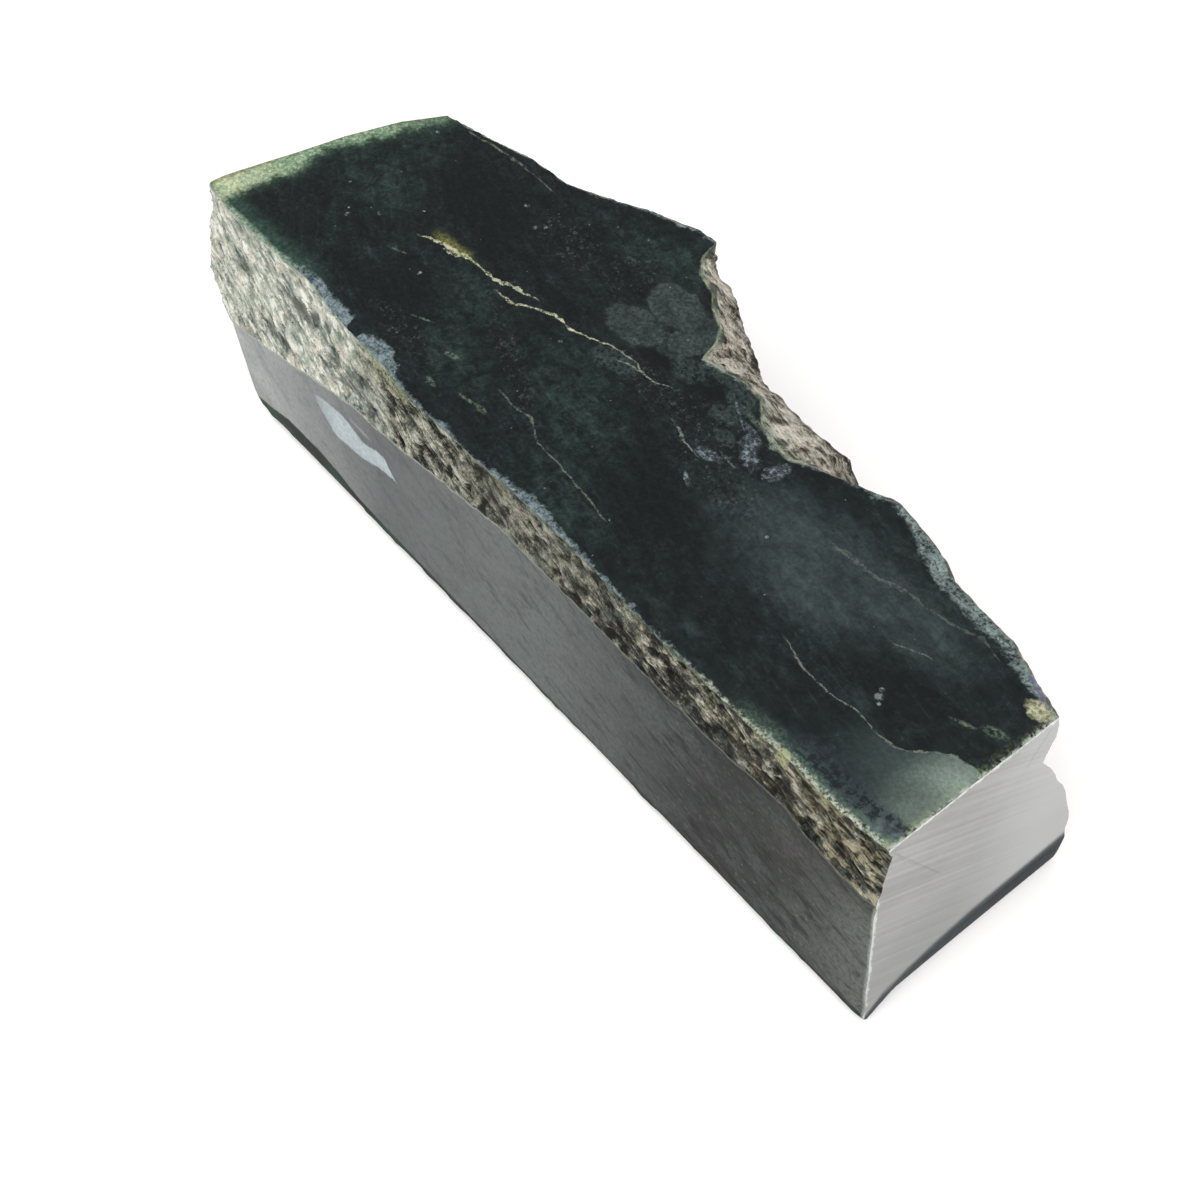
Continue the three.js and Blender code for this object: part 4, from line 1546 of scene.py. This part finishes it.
def paint_rind_body(rind, colours):
    """Cream at the far end, beige in the middle and tan towards the sawn end. On the back cream,
    then pinkish beige, more fibrous under the notch. Returns how far a point is on the back."""
    beige = rind.ramp(rind.tone, *BEIGE)
    cream = cream_rind(rind, colours)
    drift = rind.times(rind.centred(rind.noise(rind.place, 9.0, 4.0, 0.65)), 60.0)
    moved_x = rind.add(rind.x, drift)
    darker = rind.mix(rind.along(-38.0, 0.0, 0.0, 0.45), beige, shown(60, 60, 52))
    rind.colour = rind.mix(rind.ease(moved_x, -76.0, -52.0), cream, darker)
    rind.lay(tan_rind(rind, beige), rind.ease(moved_x, 15.0, 70.0))
    behind = rind.ease(rind.times_plus(drift, 0.15, rind.y), -6.0, 10.0)
    upper = rind.ease(rind.times_plus(drift, 0.3, rind.z), 35.0, 65.0)
    upper = rind.times(upper, rind.along(-50.0, -34.0), rind.along(44.0, 60.0, 1.0, 0.2))
    warm = rind.mix(upper, rind.ramp(rind.tone, *PINK), rind.ramp(rind.tone, *FIBROUS))
    rind.lay(rind.mix(rind.ease(moved_x, -115.0, -15.0), cream, warm), behind)
    return behind


def paint_rind_shade(rind):
    """Dark nests among the cream of the sawn side, and darker rind just short of the sawn end and
    towards the foot of the band there."""
    nests = rind.most(*(
        rind.patch((x, SIDE_Y, z), (along, 60.0, up), Ragged=0.9, Border=0.6)
        for x, z, along, up in DARK_NESTS
    ))
    rind.lay(shown(58, 66, 62), nests, rind.ease(rind.tone, 0.35, 0.9, 0.7, 0.05))
    shadow = rind.times(rind.along(86.0, 100.0), rind.along(114.0, 126.0, 0.5, 0.0))
    rind.lay(shown(30, 31, 28), shadow, rind.ease(rind.tone, 0.5, 0.9, 1.0, 0.3))
    low = rind.ease(rind.times_plus(rind.lumps, -14.0, rind.own("rind_gap", "Fac")), -17.0, -10.0)
    dim = rind.mix(rind.ease(rind.tone, 0.6, 1.0), shown(32, 35, 33), shown(110, 112, 102))
    rind.lay(dim, low, rind.along(30.0, 90.0), rind.along(88.0, 104.0, 0.75, 0.1))


def paint_rind_stains(rind, behind):
    """Grey-green and slaty stains, weaker on the back, ochre ones, a green edge under the sawn
    top, olive in its middle stretch, and the lower part of the yellow lump."""
    front = rind.times_plus(behind, -0.7, 1.0)
    rind.lay(shown(84, 98, 90), rind.spots(5.0, 4.0, 0.65, 0.55, 0.66, 0.0, 0.5, shift=(11, 5, 2)), front)
    rind.lay(shown(50, 58, 60), rind.spots(3.0, 4.0, 0.7, 0.57, 0.68, 0.0, 0.7, shift=(71, 2, 8)), front)
    ochre = rind.spots(6.0, 4.0, 0.65, 0.56, 0.7, shift=(3, 41, 9))
    rind.lay(shown(150, 148, 96), ochre, rind.along(-100.0, -60.0, 0.15, 0.4), rind.tone)
    lip = rind.ease(rind.times_plus(rind.lumps, 5.0, rind.z), HEIGHT - 0.5, HEIGHT + 2.0, 0.0, 0.55)
    lip = rind.times(lip, rind.ease(rind.tone, 0.0, 1.0, 0.5, 1.0))
    olive = rind.times(rind.along(-74.0, -66.0), rind.along(-46.0, -36.0, 1.0, 0.0))
    olive = rind.times(olive, rind.ease(rind.lumps, 0.42, 0.55), rind.ease(rind.z, 72.0, 80.0, 0.0, 0.6))
    gritty = rind.ease(rind.crumb, 0.38, 0.62)
    rind.lay(rind.mix(gritty, shown(44, 48, 30), shown(158, 160, 112)), olive)
    lump = rind.patch((112.0, -57.0, 83.5), (2.4, 6.0, 2.4), Ragged=0.7, Border=0.3)
    rind.lay(shown(172, 170, 130), lump, rind.ease(rind.crumb, 0.42, 0.56, 0.3, 0.95))
    rind.lay(rind.mix(rind.along(60.0, 95.0), shown(118, 140, 122), shown(146, 150, 112)), lip)


def weathered_rind(effects, colours):
    """Rind: fibres and ridges with dark crevices, cream and grey-green at the far end, beige in
    the middle, black and tan towards the sawn end, and pinkish beige on the back."""
    rind = RindCoat(effects)
    behind = paint_rind_body(rind, colours)
    paint_rind_shade(rind)
    paint_rind_stains(rind, behind)
    height = rind.times_plus(rind.crumb, 0.7, rind.times_plus(rind.fine, 0.6, rind.coarse))
    height = rind.times_plus(rind.hairs, 0.9, height)
    return rind.finish(rind.ease(rind.tone, 0.0, 1.0, 0.95, 0.75), height, 0.9)


# ---------------------------------------------------------------- operators


class JADE_OT_make_stone(bpy.types.Operator):
    """Makes the stone's mesh and its materials"""

    bl_idname = "jade.make_stone"
    bl_label = "Make the stone"

    def execute(self, context):
        scene = context.scene
        mesh = stone_mesh("jade_stone", scene.jade_shape)
        effects = Effects()
        colours = scene.jade_colours
        for make in (dull_jade, weathered_rind, polished_jade, sawn_end):
            mesh.materials.append(make(effects, colours))
        stone = bpy.data.objects.new("jade_stone", mesh)
        scene.collection.objects.link(stone)
        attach(stone, "root")
        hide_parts(NODE)
        return {"FINISHED"}


# The camera looks at a point on the floor from this azimuth, elevation and distance in metres.
CAMERA_AT = Vector((-0.0005, -0.0211, 0.0))
CAMERA_AZIMUTH = radians(50.35)
CAMERA_ELEVATION = radians(53.95)
CAMERA_DISTANCE = 0.625

# Half the width of the floor, in metres.
FLOOR_HALF = 20.0

# Soft lamps: place, size and power in watts. Each faces the stone.
LAMPS = {
    "end_lamp": ((1.5, -0.2, 0.7), 1.0, 6.0),
    "side_lamp": ((-1.0, -1.3, 0.8), 1.2, 4.0),
    "high_lamp": ((0.4, -0.75, 1.7), 2.4, 43.0),
}


def add_lamp(scene, name, place, size, power):
    """A square area lamp that faces the middle of the stone."""
    data = bpy.data.lights.new(name, "AREA")
    data.size = size
    data.energy = power
    lamp = bpy.data.objects.new(name, data)
    lamp.location = place
    towards = Vector((0, 0, HEIGHT * MM / 2)) - Vector(place)
    lamp.rotation_euler = towards.to_track_quat("-Z", "Y").to_euler()
    scene.collection.objects.link(lamp)


def floor_material():
    """Plain pale floor, a very little warm, that glows a little, so that shadows on it stay pale."""
    floor = Coat("studio_floor", 0.9, 0.0)
    tone = floor.ease(floor.noise(floor.place, 300.0, 2.0), 0.3, 0.7)
    colour = floor.mix(tone, (0.93, 0.915, 0.91), (0.94, 0.925, 0.92))
    floor.fed(floor.shader, Base_Color=colour, Emission_Color=(1.0, 0.985, 0.98), Emission_Strength=0.12)
    return floor.material


def floor_mesh():
    """One large level square under the stone."""
    mesh = bpy.data.meshes.new("studio_floor")
    half = FLOOR_HALF
    corners = [(-half, -half, 0), (half, -half, 0), (half, half, 0), (-half, half, 0)]
    mesh.from_pydata(corners, [], [(0, 1, 2, 3)])
    mesh.materials.append(floor_material())
    return mesh


def add_surround(scene, strength):
    """Even white light from all round."""
    world = bpy.data.worlds.new("studio")
    world.use_nodes = True
    background = world.node_tree.nodes["Background"]
    background.inputs["Strength"].default_value = strength
    background.inputs["Color"].default_value = (1, 1, 1, 1)
    scene.world = world
    scene.view_settings.view_transform = "Standard"


def add_camera(scene, focal_length):
    """A camera that looks at the stone from CAMERA_AZIMUTH and CAMERA_ELEVATION."""
    lens = bpy.data.cameras.new("camera")
    lens.lens = focal_length
    lens.sensor_width = 36.0
    lens.clip_start = 0.01
    camera = bpy.data.objects.new("camera", lens)
    level = cos(CAMERA_ELEVATION)
    towards = Vector(
        (level * sin(CAMERA_AZIMUTH), -level * cos(CAMERA_AZIMUTH), sin(CAMERA_ELEVATION))
    )
    camera.location = CAMERA_AT + CAMERA_DISTANCE * towards
    camera.rotation_euler = (-towards).to_track_quat("-Z", "Y").to_euler()
    scene.collection.objects.link(camera)
    scene.camera = camera


class JADE_OT_make_stage(bpy.types.Operator):
    """Makes the floor, the lamps and the camera"""

    bl_idname = "jade.make_stage"
    bl_label = "Make the stage"

    def execute(self, context):
        scene = context.scene
        studio = scene.jade_studio
        floor = bpy.data.objects.new("studio_floor", floor_mesh())
        scene.collection.objects.link(floor)
        for name, (place, size, power) in LAMPS.items():
            add_lamp(scene, name, place, size, power * studio.lamps)
        add_surround(scene, studio.surround)
        add_camera(scene, studio.lens)
        return {"FINISHED"}


class JADE_PT_panel(bpy.types.Panel):
    """Settings and buttons for the stone and its stage"""

    bl_label = "Raw jade boulder"
    bl_idname = "JADE_PT_panel"
    bl_space_type = "VIEW_3D"
    bl_region_type = "UI"
    bl_category = "Jade"

    def draw(self, context):
        scene = context.scene
        for settings in (scene.jade_shape, scene.jade_colours, scene.jade_studio):
            box = self.layout.box()
            for name in settings.__annotations__:
                box.prop(settings, name)
        self.layout.operator(JADE_OT_make_stone.bl_idname)
        self.layout.operator(JADE_OT_make_stage.bl_idname)


CLASSES = (
    JadeShapeSettings,
    JadeColourSettings,
    JadeStudioSettings,
    JADE_OT_make_stone,
    JADE_OT_make_stage,
    JADE_PT_panel,
)


def register():
    for made in CLASSES:
        bpy.utils.register_class(made)
    bpy.types.Scene.jade_shape = bpy.props.PointerProperty(type=JadeShapeSettings)
    bpy.types.Scene.jade_colours = bpy.props.PointerProperty(type=JadeColourSettings)
    bpy.types.Scene.jade_studio = bpy.props.PointerProperty(type=JadeStudioSettings)


def unregister():
    del bpy.types.Scene.jade_studio
    del bpy.types.Scene.jade_colours
    del bpy.types.Scene.jade_shape
    for made in reversed(CLASSES):
        bpy.utils.unregister_class(made)


def main():
    register()
    bpy.ops.jade.make_stage()
    bpy.ops.jade.make_stone()


if __name__ == "__main__":
    main()
